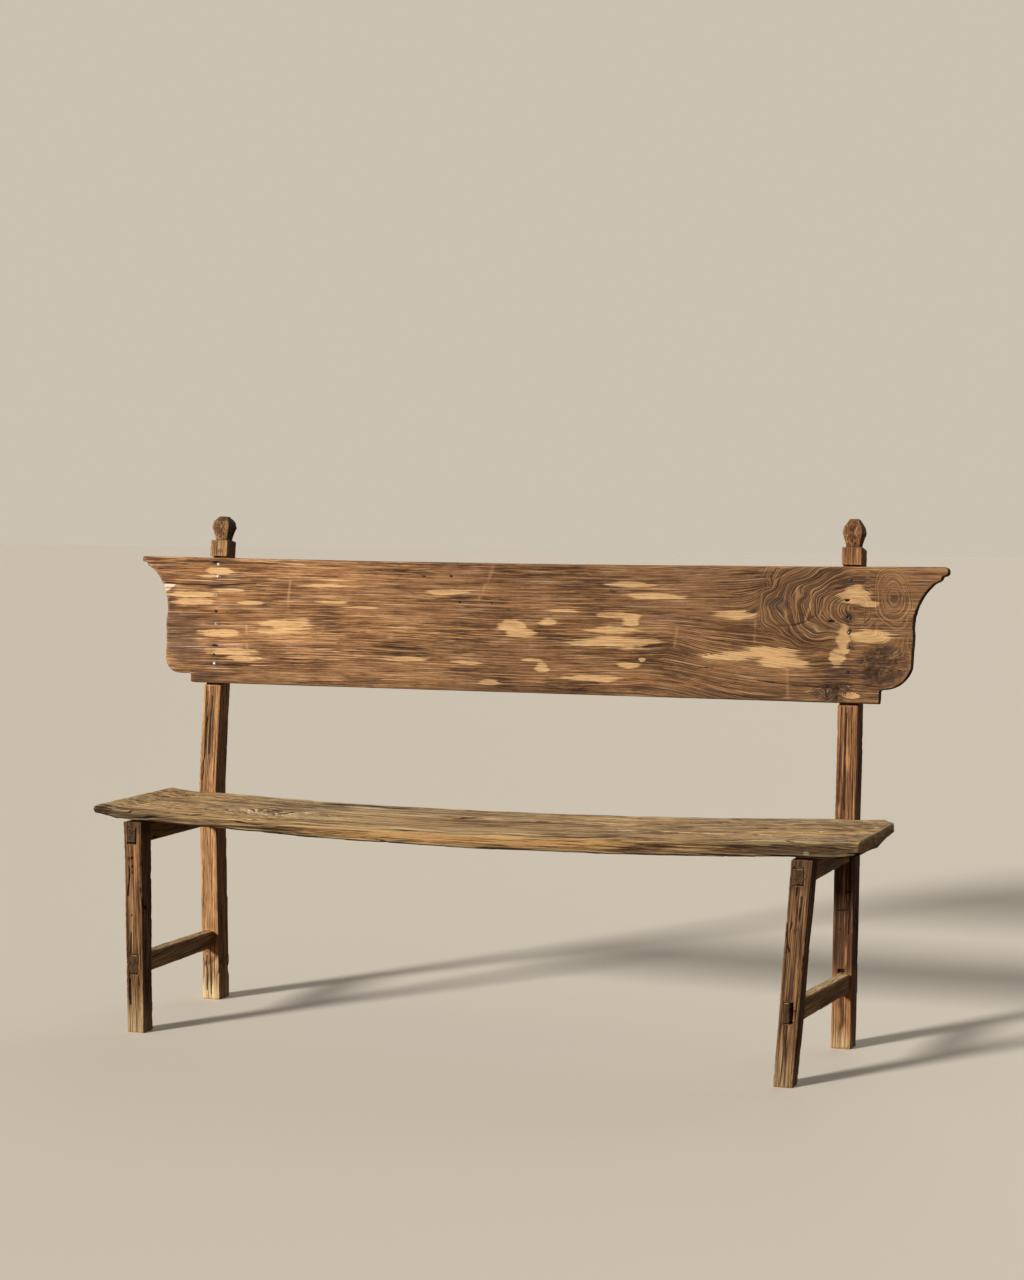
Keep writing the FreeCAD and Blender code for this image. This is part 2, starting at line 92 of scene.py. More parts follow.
# %% A helper for node trees
class Tree:
    """Adds nodes to a tree in few words. An input is a number, a colour or another node's socket."""

    def __init__(self, tree):
        self.tree = tree

    def feed(self, node, inputs):
        """Set a node's inputs."""
        for name, value in dict(inputs).items():
            if isinstance(value, bpy.types.NodeSocket):
                self.tree.links.new(value, node.inputs[name])
            else:
                node.inputs[name].default_value = value
        return node

    def add(self, kind, inputs=(), **settings):
        node = self.tree.nodes.new(kind)
        for name, value in settings.items():
            setattr(node, name, value)
        return self.feed(node, inputs)

    def math(self, operation, *values, clamp=False):
        settings = dict(operation=operation, use_clamp=clamp)
        return self.add("ShaderNodeMath", enumerate(values), **settings).outputs[0]

    def times(self, first, second):
        return self.math("MULTIPLY", first, second)

    def mix(self, factor, first, second):
        return self.add("ShaderNodeMix", {0: factor, 6: first, 7: second}, data_type="RGBA").outputs[2]

    def step(self, value, low, high, start=0.0, end=1.0):
        inputs = {"Value": value, "From Min": low, "From Max": high, "To Min": start, "To Max": end}
        return self.add("ShaderNodeMapRange", inputs, interpolation_type="SMOOTHSTEP").outputs[0]

    def stretched(self, vector, along, across):
        """Noise on a vector, with so many bumps per metre along the fibres and across them."""
        factors = {0: vector, 1: (along, across, across)}
        place = self.add("ShaderNodeVectorMath", factors, operation="MULTIPLY").outputs[0]
        inputs = {"Vector": place, "Scale": 1.0, "Detail": 4.0, "Roughness": 0.6}
        return self.add("ShaderNodeTexNoise", inputs).outputs[0]

    def field(self, name):
        """A number that a piece stores on its points."""
        return self.add("ShaderNodeAttribute", attribute_name=name).outputs["Fac"]


def new_group(name, inputs, outputs, kind="ShaderNodeTree"):
    """An empty node group with named sockets, and its two ends."""
    group = bpy.data.node_groups.new(name, kind)
    for way, sockets in (("INPUT", inputs), ("OUTPUT", outputs)):
        for label, sort in sockets.items():
            group.interface.new_socket(label, in_out=way, socket_type="NodeSocket" + sort)
    return Tree(group), group.nodes.new("NodeGroupInput").outputs, group.nodes.new("NodeGroupOutput")


def new_material(name):
    """A new material, its node tree and its shader."""
    material = bpy.data.materials.new(name)
    material.use_nodes = True
    return material, Tree(material.node_tree), material.node_tree.nodes["Principled BSDF"]


# %% [markdown]
# ## Floor and light
# A plain pale floor and one strong lamp, low on the left in front of the bench, as in the photograph:
# the sides that face right fall into shade. The sky is a weak fill of the same warm grey.
# A second lamp, very wide and weak, shines from behind so that the back of the bench can be read too.
# The real bench stood on dark boards, which threw little light up at its shaded sides. So the floor is
# pale only where the camera sees it, and a dull brown for the light that bounces off it.


# %% Colours and lamps
def colour(red, green, blue):
    """A screen colour, from 0 to 255, as the linear colour that shaders use."""
    return tuple((((part / 255 + 0.055) / 1.055) ** 2.4) for part in (red, green, blue)) + (1,)


def linked_object(name, data):
    """A new object in the scene, for a lamp or a mesh."""
    thing = bpy.data.objects.new(name, data)
    bpy.context.scene.collection.objects.link(thing)
    return thing


def sun(name, direction, strength, softness, tint):
    """A far lamp: the same light everywhere, with shadows as soft as its width in degrees."""
    data = bpy.data.lights.new(name, "SUN")
    data.energy, data.angle, data.color = strength, math.radians(softness), tint
    light = linked_object(name, data)
    light.location = -4 * np.array(direction)
    heading = math.atan2(direction[1], direction[0])
    fall = math.atan2(direction[2], math.hypot(direction[0], direction[1]))
    light.rotation_euler = (math.pi / 2 + fall, 0, heading - math.pi / 2)


sun("key", (0.50, 0.80, -0.33), 4.1, 9, (1, 0.95, 0.86))
sun("back_fill", (-0.12, -0.88, -0.45), 0.55, 60, (1, 0.96, 0.90))

# %% Floor and sky
FLOOR_SIZE = 60
half = FLOOR_SIZE / 2
floor_mesh = bpy.data.meshes.new("floor")
corners = [(-half, -half, 0), (half, -half, 0), (half, half, 0), (-half, half, 0)]
floor_mesh.from_pydata(corners, [], [(0, 1, 2, 3)])
floor = linked_object("floor", floor_mesh)

floor_paint, nodes, shader = new_material("pale floor")
seen = nodes.add("ShaderNodeLightPath").outputs["Is Camera Ray"]
paint = nodes.mix(seen, colour(120, 92, 66), colour(245, 237, 226))
nodes.feed(shader, {"Base Color": paint, "Roughness": 0.75})
floor_mesh.materials.append(floor_paint)

SKY_LIGHT = 0.26
SKY_SEEN = 0.97
world = bpy.data.worlds.new("sky")
world.use_nodes = True
nodes = Tree(world.node_tree)
seen = nodes.add("ShaderNodeLightPath").outputs["Is Camera Ray"]
strength = nodes.step(seen, 0, 1, SKY_LIGHT, SKY_SEEN)
nodes.feed(world.node_tree.nodes["Background"], {"Color": colour(205, 196, 180), "Strength": strength})
bpy.context.scene.world = world
bpy.context.scene.view_settings.view_transform = "Standard"
print("floor", FLOOR_SIZE, "m wide")

# %% [markdown]
# ## Noise
# Wear is never even, so nearly everything below is driven by smooth random numbers. This noise gives
# each corner of a lattice a random value, found from the corner's own address, and blends between
# corners. The lattice can be stretched: wood is a bundle of long fibres, so its noise is long too.


# %% Lattice noise
PRIMES = np.array([73856093, 19349663, 83492791], dtype=np.int64)


def noise(places, size, seed=0):
    """Smooth random values from -1 to 1. The size of the bumps is in millimetres, one for each axis.
    Where fewer sizes than three are given, the last one counts for the other axes too."""
    size = np.atleast_1d(size)
    cell = places / (size[np.minimum(range(3), len(size) - 1)] * MM)
    corner_below = np.floor(cell)
    part = cell - corner_below
    part = part * part * (3 - 2 * part)
    corner_below = corner_below.astype(np.int64)
    total = np.zeros(len(places))
    for step in product((0, 1), repeat=3):
        key = ((corner_below + step) * PRIMES).sum(axis=1) + seed * 2654435761
        key = (key ^ (key >> 15)) * 2246822519 & 0xFFFFFFFF
        key = (key ^ (key >> 13)) * 3266489917 & 0xFFFFFFFF
        value = ((key ^ (key >> 16)) & 0xFFFF) / 32767.5 - 1
        total += value * np.where(step, part, 1 - part).prod(axis=1)
    return total


def rough(places, size, seed=0, layers=3):
    """Noise with finer and weaker layers on top."""
    size = np.atleast_1d(size)
    return sum(noise(places, size / 2**layer, seed + layer) / 2**layer for layer in range(layers)) / 1.5


def rise(values, low, high):
    """0 below low, 1 above high, and a smooth step between."""
    part = np.clip((values - low) / (high - low), 0, 1)
    return part * part * (3 - 2 * part)


def patches(places, along, across, seed, low, high):
    """Soft patches from 0 to 1, of that size in millimetres. Higher limits leave fewer of them."""
    return rise(noise(places, (along, across), seed), low, high)


probe = np.random.default_rng(1).uniform(0, 1, (1000, 3))
print("noise runs from", noise(probe, 100).min().round(2), "to", noise(probe, 100).max().round(2))

# %% [markdown]
# ## A skin of small faces
# The CAD pieces have large flat faces, which can't take a dent. A voxel remesh lays an even skin of
# small quads over a copy of the piece. Wear then moves each point along the way it faces: a hollow goes
# in by millimetres, and fine grain goes in and out by a few tenths. The points on the floor stay on the
# floor, and no point leaves the box of the CAD model.


# %% The skin and its tools
COARSE = 1
WELD = 0.01 * MM


def with_modifiers(thing):
    """The mesh that an object's modifiers give. The object itself is deleted."""
    depsgraph = bpy.context.evaluated_depsgraph_get()
    mesh = bpy.data.meshes.new_from_object(thing.evaluated_get(depsgraph))
    bpy.data.objects.remove(thing)
    return mesh


def welded(node):
    """A copy of a CAD node's mesh with its loose triangles joined at their corners."""
    shape = bmesh.new()
    shape.from_mesh(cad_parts[node].data)
    bmesh.ops.remove_doubles(shape, verts=shape.verts, dist=WELD)
    return shape


def even_skin(node, cell):
    """The node's shape with faces of one small size."""
    mesh = bpy.data.meshes.new(node + "_welded")
    shape = welded(node)
    shape.to_mesh(mesh)
    shape.free()
    thing = linked_object(node + "_skin", mesh)
    remesh = thing.modifiers.new("skin", "REMESH")
    remesh.mode = "VOXEL"
    remesh.voxel_size = cell * COARSE
    return with_modifiers(thing)


def thinned(mesh, chosen, keep):
    """The mesh with fewer faces round the chosen points. keep is the share of all faces that stays."""
    thing = linked_object("thinned", mesh)
    group = thing.vertex_groups.new(name="chosen")
    group.add([int(index) for index in np.flatnonzero(chosen)], 1, "REPLACE")
    decimate = thing.modifiers.new("thin", "DECIMATE")
    decimate.vertex_group = "chosen"
    decimate.ratio = keep
    return with_modifiers(thing)


# %% The points of a skin
class Skin:
    """A mesh as arrays: its points, the way each one faces, and which points are neighbours."""

    def __init__(self, mesh):
        self.mesh = mesh
        self.points = self.read(mesh.vertices, "co", 3)
        self.ends = self.read(mesh.edges, "vertices", 2).astype(int)
        self.on_floor = self.points[:, 2] < 0.5 * MM
        self.find_facing()

    @staticmethod
    def read(rows, name, width):
        values = np.empty(len(rows) * width, np.float32 if width == 3 else np.int32)
        rows.foreach_get(name, values)
        return values.reshape(-1, width).astype(float)

    def find_facing(self):
        self.mesh.vertices.foreach_set("co", self.points.astype(np.float32).ravel())
        self.mesh.update()
        self.facing = self.read(self.mesh.vertex_normals, "vector", 3)

    def relaxed(self, times):
        """Where the points go when each moves to the middle of its neighbours, several times over."""
        first, second = self.ends.T
        size = len(self.points)
        share = np.bincount(self.ends.ravel(), minlength=size)[:, None]
        places = self.points
        for _ in range(times):
            sums = [
                np.bincount(first, column[second], size) + np.bincount(second, column[first], size)
                for column in places.T
            ]
            places = np.stack(sums, axis=1) / share
        return places

    def sharpness(self, times):
        """How far each point stands out from its smoothed place, in metres: large on an arris."""
        return ((self.points - self.relaxed(times)) * self.facing).sum(axis=1)

    def soften(self, times, amount):
        """Round the arrises by moving points part of the way to their smoothed places."""
        self.points += (self.relaxed(times) - self.points) * np.reshape(amount, (-1, 1))
        self.find_facing()

    def sink(self, depth):
        """Wear the surface down by a depth at each point."""
        self.points -= self.facing * np.asarray(depth)[:, None]
        self.points[self.on_floor, 2] = 0
        self.points = np.clip(self.points, *cad_box)
        self.find_facing()

    def store(self, fields):
        """Keep numbers on the points, for the materials to read. The grain runs straight unless told."""
        for name, values in ({"swirl": 0} | fields).items():
            vector = np.ndim(values) == 2
            layer = self.mesh.attributes.new(name, "FLOAT_VECTOR" if vector else "FLOAT", "POINT")
            shape = self.points.shape if vector else len(self.points)
            values = np.broadcast_to(np.asarray(values, np.float32), shape)
            layer.data.foreach_set("vector" if vector else "value", np.ascontiguousarray(values).ravel())


# %% Finish a piece
def dress(skin, node, material, slot, **fields):
    """Show the worn mesh in place of its CAD node. The fields are the numbers that it keeps."""
    skin.store(fields)
    piece = linked_object(node + "_wood", skin.mesh)
    piece.data.name = piece.name
    piece.data.materials.clear()
    piece.data.materials.append(material)
    piece.data.polygons.foreach_set("use_smooth", [True] * len(piece.data.polygons))
    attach(piece, "root")
    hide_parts(node)
    corners = sum(len(face.vertices) - 2 for face in piece.data.polygons)
    print(piece.name, corners, "triangles")


# %% [markdown]
# ## Marks on a face
# A crack, a flake or a nail's stain has a place that can be seen in the photograph. The helpers here
# turn such places into numbers on the points: two for marks along lines, two for oval marks. They
# take flat coordinates on the face, in millimetres, because that is how a restorer would note them.


# %% Lines and ovals
def near_line(flat, line, reach):
    """1 on a line through some places, falling to 0 at the reach from it."""
    nearest = np.full(len(flat), np.inf)
    for start, end in zip(np.array(line[:-1], float) * MM, np.array(line[1:], float) * MM):
        run = end - start
        part = np.clip(((flat - start) @ run) / (run @ run), 0, 1)[:, None]
        nearest = np.minimum(nearest, np.linalg.norm(flat - start - part * run, axis=1))
    return np.clip(1 - nearest / (reach * MM), 0, 1)


def near_lines(flat, lines, reach):
    """The same for several lines together."""
    return np.max([near_line(flat, line, reach) for line in lines], axis=0)


def oval(flat, x, y, half_length, half_height):
    """1 in the middle of an oval, 0 on its rim, below 0 outside."""
    return 1 - np.hypot((flat[:, 0] / MM - x) / half_length, (flat[:, 1] / MM - y) / half_height)


def ovals(flat, marks):
    """The same for several ovals together. A place far from them all has -9."""
    return np.max([np.full(len(flat), -9.0), *(oval(flat, *mark) for mark in marks)], axis=0)


# %% [markdown]
# ## The wood shader
# One node group paints every kind of old wood here. It reads the grain coordinates that each piece
# stores on its points: distance along the fibres, and across them. Noise that is stretched along the
# first and tight across the others becomes streaks, hair lines and pores, and where the stored
# coordinates swirl round a knot, the streaks swirl with them. Over that lie the marks of wear, in the
# order in which time laid them down: stain, flaked patches, bleaching, polish on arrises, cracks.


# %% The old wood group
tree, given, result = new_group(
    "Old wood",
    {
        "Dark": "Color", "Middle": "Color", "Light": "Color",
        "Stain": "Color", "Bare": "Color", "Bleached": "Color",
        "Streaks": "Float", "Lines": "Float", "Coarse": "Float",
    },
    {"Color": "Color", "Roughness": "Float", "Height": "Float"},
)
wood_group = tree.tree
straight_grain = tree.add("ShaderNodeAttribute", attribute_name="grain").outputs["Vector"]
curled_grain = tree.add("ShaderNodeAttribute", attribute_name="around").outputs["Vector"]
curl = tree.field("swirl")


def streaks(along, across):
    """Noise along the fibres. Where the grain swirls, it follows the rings instead."""
    straight, curled = (tree.stretched(vector, along, across) for vector in (straight_grain, curled_grain))
    return tree.add("ShaderNodeMix", {0: curl, 2: straight, 3: curled}).outputs[0]


broad = streaks(5, 100)
middle = streaks(5, 400)
fine = streaks(12, 640)
hair = tree.stretched(straight_grain, 45, 1400)
cloud = tree.stretched(straight_grain, 4, 16)
print("five noises on the grain coordinates, from clouds to hair lines")

# %% Tone from dark to light, and thin dark lines
tone = tree.times(tree.math("SUBTRACT", broad, 0.5), given["Coarse"])
for layer, share in ((middle, 0.34), (fine, 0.50), (hair, 0.16), (cloud, 0.14)):
    tone = tree.math("MULTIPLY_ADD", layer, share, tone)
tone = tree.math("SUBTRACT", tone, 0.57)
tone = tree.math("MULTIPLY_ADD", tone, given["Streaks"], 0.5, clamp=True)
paint = tree.mix(tree.step(tone, 0.02, 0.52), given["Dark"], given["Middle"])
paint = tree.mix(tree.step(tone, 0.48, 0.98), paint, given["Light"])


def band(value, level, width, core):
    """1 where a value is within core of a level, 0 beyond width. On noise that is a wandering line."""
    return tree.step(tree.math("ABSOLUTE", tree.math("SUBTRACT", value, level)), width, core)


lines = tree.math("MAXIMUM", band(broad, 0.44, 0.042, 0.0084), band(middle, 0.42, 0.05, 0.01))
lines = tree.times(lines, tree.step(cloud, 0.66, 0.36))
paint = tree.mix(tree.times(lines, given["Lines"]), paint, given["Dark"])
pore = tree.step(tree.stretched(straight_grain, 36, 420), 0.57, 0.68)
paint = tree.mix(tree.times(pore, 0.55), paint, given["Dark"])

# %% Ring lines, where the grain swirls
turn = tree.math("FRACT", tree.field("rings"))
unbroken = tree.times(curl, tree.step(fine, 0.34, 0.5))
crest = tree.times(band(turn, 0.5, 0.13, 0.04), unbroken)
valley = tree.times(band(turn, 0.69, 0.14, 0.05), curl)
paint = tree.mix(tree.times(valley, 0.34), paint, given["Dark"])
paint = tree.mix(tree.times(crest, 0.6), paint, given["Light"])


# %% The marks of wear in the group
def ragged(name, share, low, high):
    """A stored mark with its rim broken up by the grain."""
    loose = tree.times(tree.math("SUBTRACT", tree.math("ADD", fine, middle), 1.0), share)
    return tree.step(tree.math("ADD", loose, tree.field(name)), low, high)


stain = ragged("stain", 1.0, 0.1, 0.8)
paint = tree.mix(tree.times(stain, 0.85), paint, tree.mix(0.3, given["Stain"], paint))
bare = tree.times(ragged("bare", 1.1, -0.12, 0.22), 0.92)
bare_paint = tree.mix(tree.step(fine, 0.36, 0.56), tree.mix(0.5, given["Bare"], paint), given["Bare"])
paint = tree.mix(bare, paint, bare_paint)
bleached = ragged("pale", 1.3, 0.05, 0.95)
grooved = tree.mix(0.4, given["Dark"], given["Bleached"])
paint = tree.mix(bleached, paint, tree.mix(tree.step(middle, 0.40, 0.58), grooved, given["Bleached"]))
paint = tree.mix(tree.times(tree.field("worn"), 0.5), paint, given["Light"])
# The tint lightens or darkens the colour. On some pieces it is the wood's own tone, and on others it is
# also painted shade and painted light.
patina = tree.math("MULTIPLY_ADD", bare, -0.6, 1.0)
lit = tree.math("MULTIPLY_ADD", tree.field("tint"), patina, 1.0)
paint = tree.add("ShaderNodeHueSaturation", {"Color": paint, "Value": lit}).outputs[0]
crack = ragged("crack", 0.4, 0.36, 0.66)
paint = tree.mix(crack, paint, (0.010, 0.006, 0.005, 1))
print("marks: stain, bare, pale, worn, tint, crack")

# %% Roughness and height
matt = tree.math("MULTIPLY_ADD", tone, 0.2, 0.56)
matt = tree.math("MULTIPLY_ADD", bare, 0.15, matt)
matt = tree.math("MULTIPLY_ADD", bleached, 0.15, matt)
relief = tree.times(broad, given["Coarse"])
for layer, share in ((middle, 0.5), (fine, 0.7), (hair, 0.3), (pore, -0.15), (lines, -0.3), (crest, 0.3)):
    relief = tree.math("MULTIPLY_ADD", layer, share, relief)
tree.feed(result, {"Color": paint, "Roughness": matt, "Height": relief})
print("the group has", len(wood_group.nodes), "nodes")


# %% [markdown]
# ## One material for each kind of wood
# The seat has greyed in the light and been scrubbed. The board keeps its brown patina, flaked to bare
# golden wood in places. The front legs are the darkest, and the right post is redder than the left one.
# Each material is the same group with its own colours, a shader and a bump.


# %% Wood materials
def wood(name, colours, streaks=5.0, lines=0.6, relief=1.6, coarse=0.07):
    """A material of old wood. relief is in millimetres, coarse is the share of the widest streaks."""
    material, nodes, shader = new_material(name)
    values = [*(colour(*value) for value in colours), streaks, lines, coarse]
    group = nodes.add("ShaderNodeGroup", enumerate(values), node_tree=wood_group).outputs
    inputs = {"Height": group["Height"], "Strength": 0.9, "Distance": relief * MM}
    bump = nodes.add("ShaderNodeBump", inputs).outputs["Normal"]
    inputs = {"Base Color": group["Color"], "Roughness": group["Roughness"], "Normal": bump}
    nodes.feed(shader, inputs | {"Specular IOR Level": 0.2})
    return material


# The colours stand in the group's order: dark, middle, light, stain, bare and bleached.
board_wood = wood(
    "board wood",
    [(50, 30, 16), (134, 94, 59), (184, 143, 98), (54, 38, 32), (212, 172, 122), (222, 204, 190)],
    streaks=4.2, lines=0.85,
)
seat_wood = wood(
    "seat wood",
    [(66, 42, 22), (214, 164, 107), (255, 220, 162), (74, 42, 34), (206, 156, 98), (255, 236, 196)],
    streaks=6.6, lines=0.85, relief=2.6, coarse=0.18,
)
leg_wood = wood(
    "leg wood",
    [(32, 19, 12), (112, 78, 48), (154, 114, 74), (60, 38, 34), (172, 118, 70), (196, 170, 126)],
    streaks=5.4, lines=0.85, relief=2.2,
)
left_post_wood = wood(
    "left post wood",
    [(58, 38, 22), (160, 116, 77), (200, 154, 106), (66, 44, 32), (190, 140, 92), (214, 190, 144)],
    lines=0.7, relief=2.0,
)
right_post_wood = wood(
    "right post wood",
    [(46, 27, 18), (136, 93, 59), (172, 124, 80), (50, 20, 14), (186, 136, 88), (204, 176, 132)],
    streaks=4.2, lines=0.5, relief=1.8,
)
rail_wood = wood(
    "rail wood",
    [(60, 42, 22), (138, 104, 62), (184, 146, 96), (46, 34, 34), (196, 156, 108), (222, 194, 148)],
    streaks=3.6, lines=0.5,
)
print("materials:", [material.name for material in bpy.data.materials])

# %% [markdown]
# ## Seat plank
# The plank is adzed from one wide tree and sags under a century of sitters. Its top is weathered to a
# pale olive, with long dark checks, one broken knot near the left end, and a front arris worn round.
# The ends are rougher: on end grain the fibres stand open.

# %% Seat coordinates
SEAT_CELL = 2.8 * MM
seat_mesh = even_skin("seat_plank", SEAT_CELL)
looks_down = Skin(seat_mesh).facing[:, 2] < -0.7
skin = Skin(thinned(seat_mesh, looks_down, 0.56))
seat_low, seat_high = (np.array(corner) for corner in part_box("seat_plank"))
along, across, height = skin.points.T
from_front = across - seat_low[1]
stations = np.linspace(seat_low[0] + 0.02, seat_high[0] - 0.02, 40)
near_front = skin.points[from_front < 60 * MM]
undersides = [near_front[np.abs(near_front[:, 0] - place) < 25 * MM, 2].min() for place in stations]
from_under = height - np.interp(along, stations, undersides)
flat = skin.points[:, :2]
wander = noise(skin.points, (500, 80), 3) * 5 * MM
knot = np.exp(-np.hypot((along + 0.47) / 0.10, (across + 0.10) / 0.045) ** 2)
grain_across = across + wander + knot * 60 * MM
grain = np.stack([along, grain_across, height], axis=1)
top = rise(skin.facing[:, 2], 0.5, 0.9)
front = rise(-skin.facing[:, 1], 0.4, 0.8)
end = rise(np.abs(skin.facing[:, 0]), 0.5, 0.8)
print("seat skin", len(skin.points), "points")

# %% Seat cracks
seat_cracks = [
    [(-540, -88), (-520, -93), (-500, -92)], [(-488, -98), (-470, -97), (-455, -104), (-428, -112)],
    [(-425, -132), (-395, -136)], [(-420, -58), (-360, -74), (-330, -78)], [(-780, -101), (-744, -96)],
    [(-770, 48), (-752, 88)], [(319, -95), (430, -104), (562, -120)], [(584, -22), (659, -27)],
    [(612, -122), (668, -142)], [(700, -196), (735, -206)], [(151, -5), (336, -16)],
    [(690, -60), (742, -66)], [(748, 20), (780, 18)],
]
left_band_line = [(-842, -206), (-812, -208), (-790, -212), (-752, -222), (-722, -229), (-700, -238)]
line_wobble = np.stack([along, across + noise(skin.points, (30, 20), 16) * 3 * MM], axis=1)
cracks = near_lines(line_wobble, seat_cracks, 5.5) * top
band_edge = near_line(line_wobble, left_band_line, 5) * top
band_places, band_edges = np.array(left_band_line).T * MM
in_band = rise(np.interp(along, band_places, band_edges, right=-1) - across, -2 * MM, 4 * MM)
print("cracks in the seat:", len(seat_cracks))

# %% Seat wear
END_WEAR = 40 * MM
FRONT_ROUND = 34 * MM
BACK_RISE = 13 * MM
softness = 0.45 + 0.45 * noise(skin.points, (120, 100), 5)
skin.soften(2, np.clip(softness, 0.1, 0.8) * (1 - 0.7 * rise(-along, 0.80, 0.84)))
corner_right = rise(along, 0.79, 0.85) * rise(0.07 - from_front, 0, 0.06)
skin.soften(10, corner_right * 0.9)
end_right = rise(along, seat_high[0] - END_WEAR, seat_high[0] - END_WEAR / 2)
skin.soften(12, end_right * 0.8)
arris = rise(skin.sharpness(6), 0.1 * MM, 0.9 * MM)

groove = rough(grain, (160, 5), 11)
dents = noise(skin.points, (90, 50), 12)
checks = 1 - np.abs(noise(grain, (300, 14), 13))
checks = rise(checks, 0.93, 0.995) * patches(grain, 350, 50, 14, -0.05, 0.35)
front_round = rise(FRONT_ROUND - from_front, 0, FRONT_ROUND) * (0.7 + 0.3 * noise(skin.points, 200, 15))
front_round *= 1 - 0.8 * rise(-along, 0.70, 0.80)
knot_chaos = knot * rise(rough(grain, (20, 6), 17), 0.15, 0.5)
splinters = rise(noise(skin.points, (70, 9, 5), 18), 0.0, 0.7)
end_fibres = 0.5 + 0.5 * rough(skin.points, (12, 20, 8), 19)
depth = MM * (
    groove * 0.9
    + rise(dents, 0.1, 0.9) * 1.6
    + checks * 2.2 * (1 - end)
    + cracks * 3.5
    + band_edge * 2.0
    + knot_chaos * top * 4
    + front_round * top * 4.5
    + front * splinters * 2.4
    + end * end_fibres * (2.2 + 1.8 * (along > 0))
)
skin.sink(depth)
back_right = rise(along, 0.74, 0.86) * rise(across, -0.15, 0.08) * rise(0.030 - from_under, 0, 0.030)
skin.points[:, 2] += back_right * BACK_RISE
skin.find_facing()

# %% Seat stains
right_side = rise(along, 0.35, 0.75)
either_side = np.maximum(right_side, rise(-along, 0.45, 0.80))
under = rise(-skin.facing[:, 2], 0.3, 0.7)
ragged_height = 0.010 + 0.014 * either_side + 0.006 * noise(grain, (60, 20), 24)
low_on_front = rise(ragged_height - from_under, -0.004, 0.005) * front
front_arris = rise(0.03 - from_front, -0.02, 0.02)
spots = [(50, -98, 44, 12), (730, 30, 40, 20), (560, -205, 60, 14)]
stain = np.max([
    low_on_front * (0.65 + 0.35 * either_side),
    under * 0.75,
    (top + end) * rise(-along, 0.833, 0.840) * 0.9,
    in_band * (top + front) * 0.95,
    top * front_arris * patches(grain, 120, 20, 21, -0.1, 0.6),
    top * 0.8 * rise(ovals(flat, spots), 0, 0.7),
], axis=0)
print("share of the seat that is stained:", round(float((stain > 0.5).mean()), 2))

# %% Seat tones and finish
on_front = np.stack([along, height], axis=1)
long_streaks = noise(grain, (350, 12), 20)
pale = top * (0.22 + 0.40 * long_streaks + knot_chaos * 0.9 + 0.3 * rise(-along, 0.2, 0.6) * knot)
pale = np.maximum(pale, rise(oval(on_front, 742, 458, 9, 5), 0, 0.5) * front)
golden = oval(on_front, 0, 455, 560, 30) * front
# The right part of the seat, front and top, is darkened a little as painted falloff of the light from the
# left. The right end faces away from the lamp, so it is darkened more than the left end as painted shade.
tint = -(0.60 + 0.10 * right_side) * front - 0.4 * under
tint -= 0.40 * end * (along > 0) + 0.3 * end * (along < 0)
tint += top * (0.10 * noise(skin.points, (300, 90), 22) - 0.10 * right_side + 0.10 * knot)
tint -= 0.25 * top * rise(0.05 - from_front, 0, 0.05) * patches(grain, 200, 30, 23, -0.2, 0.6)
open_places = cracks * 1.1 + band_edge * 0.8 + checks * 0.8 * (1 - end) + knot_chaos * top * 0.5
dress(
    skin, "seat_plank", seat_wood, "seat",
    grain=grain,
    crack=np.clip(open_places, 0, 1),
    bare=np.clip(golden * 0.5 - 0.15, -1, 1) * front - (1 - front),
    stain=stain,
    pale=pale,
    worn=arris * (1 - under) * (1 - in_band),
    tint=tint,
)

# %% [markdown]
# ## Back board
# The board was cut from near a fork of the tree. On the left its grain runs straight, and on the right
# it swirls round a large knot and a small eye. The patina has flaked off in long ovals, and old nails
# have stained the wood blue black. Its places are noted in millimetres: along the board from the
# middle, and up from the lower edge.

# %% Board coordinates
RAKE = math.radians(6)
BEND = (0.139, 0.483)
BOARD_START = 0.240
BOARD_PROUD = 0.012
BOARD_CELL = 2.6 * MM


def on_board(points):
    """Distance along the board, up from its lower edge, and back from its front face."""
    back, up = points[:, 1] - BEND[0], points[:, 2] - BEND[1]
    rise_along = back * math.sin(RAKE) + up * math.cos(RAKE)
    depth_back = back * math.cos(RAKE) - up * math.sin(RAKE)
    return np.stack([points[:, 0], rise_along - BOARD_START, depth_back + BOARD_PROUD], axis=1)


board_mesh = even_skin("back_board", BOARD_CELL)
looks_back = Skin(board_mesh).facing[:, 1] > 0.7
skin = Skin(thinned(board_mesh, looks_back, 0.55))
local = on_board(skin.points)
along, height, back = local.T
flat = local[:, :2]
front = rise(-skin.facing[:, 1], 0.5, 0.85)
rim = rise(np.abs(skin.facing[:, 1]), 0.75, 0.4)
print("board skin", len(skin.points), "points")

# %% Grain of the board
# place along, place up, half width, half height and push on the grain, in millimetres
SWELLS = [(566, 207, 42, 34, -24), (345, 112, 50, 30, -10), (625, 108, 60, 44, 10)]
BURL = [(805, 78, 66, 56), (700, 20, 60, 26)]
burl = rise(ovals(flat, BURL), 0.0, 0.5) * front
spread = 1 - 0.22 * rise(along, 0.26, 0.56)
wave = noise(local, (450, 100), 31) * 7 * MM
twist = burl * rough(local, 14, 32) * 12 * MM
for *swell, push in SWELLS:
    wave += np.exp(-((1 - oval(flat, *swell)) ** 2)) * push * MM
grain = np.stack([along, 0.2 + (height - 0.2) * spread + wave + twist, back], axis=1)
print("the grain spreads by up to", round(1 / spread.min(), 2), "towards the right")

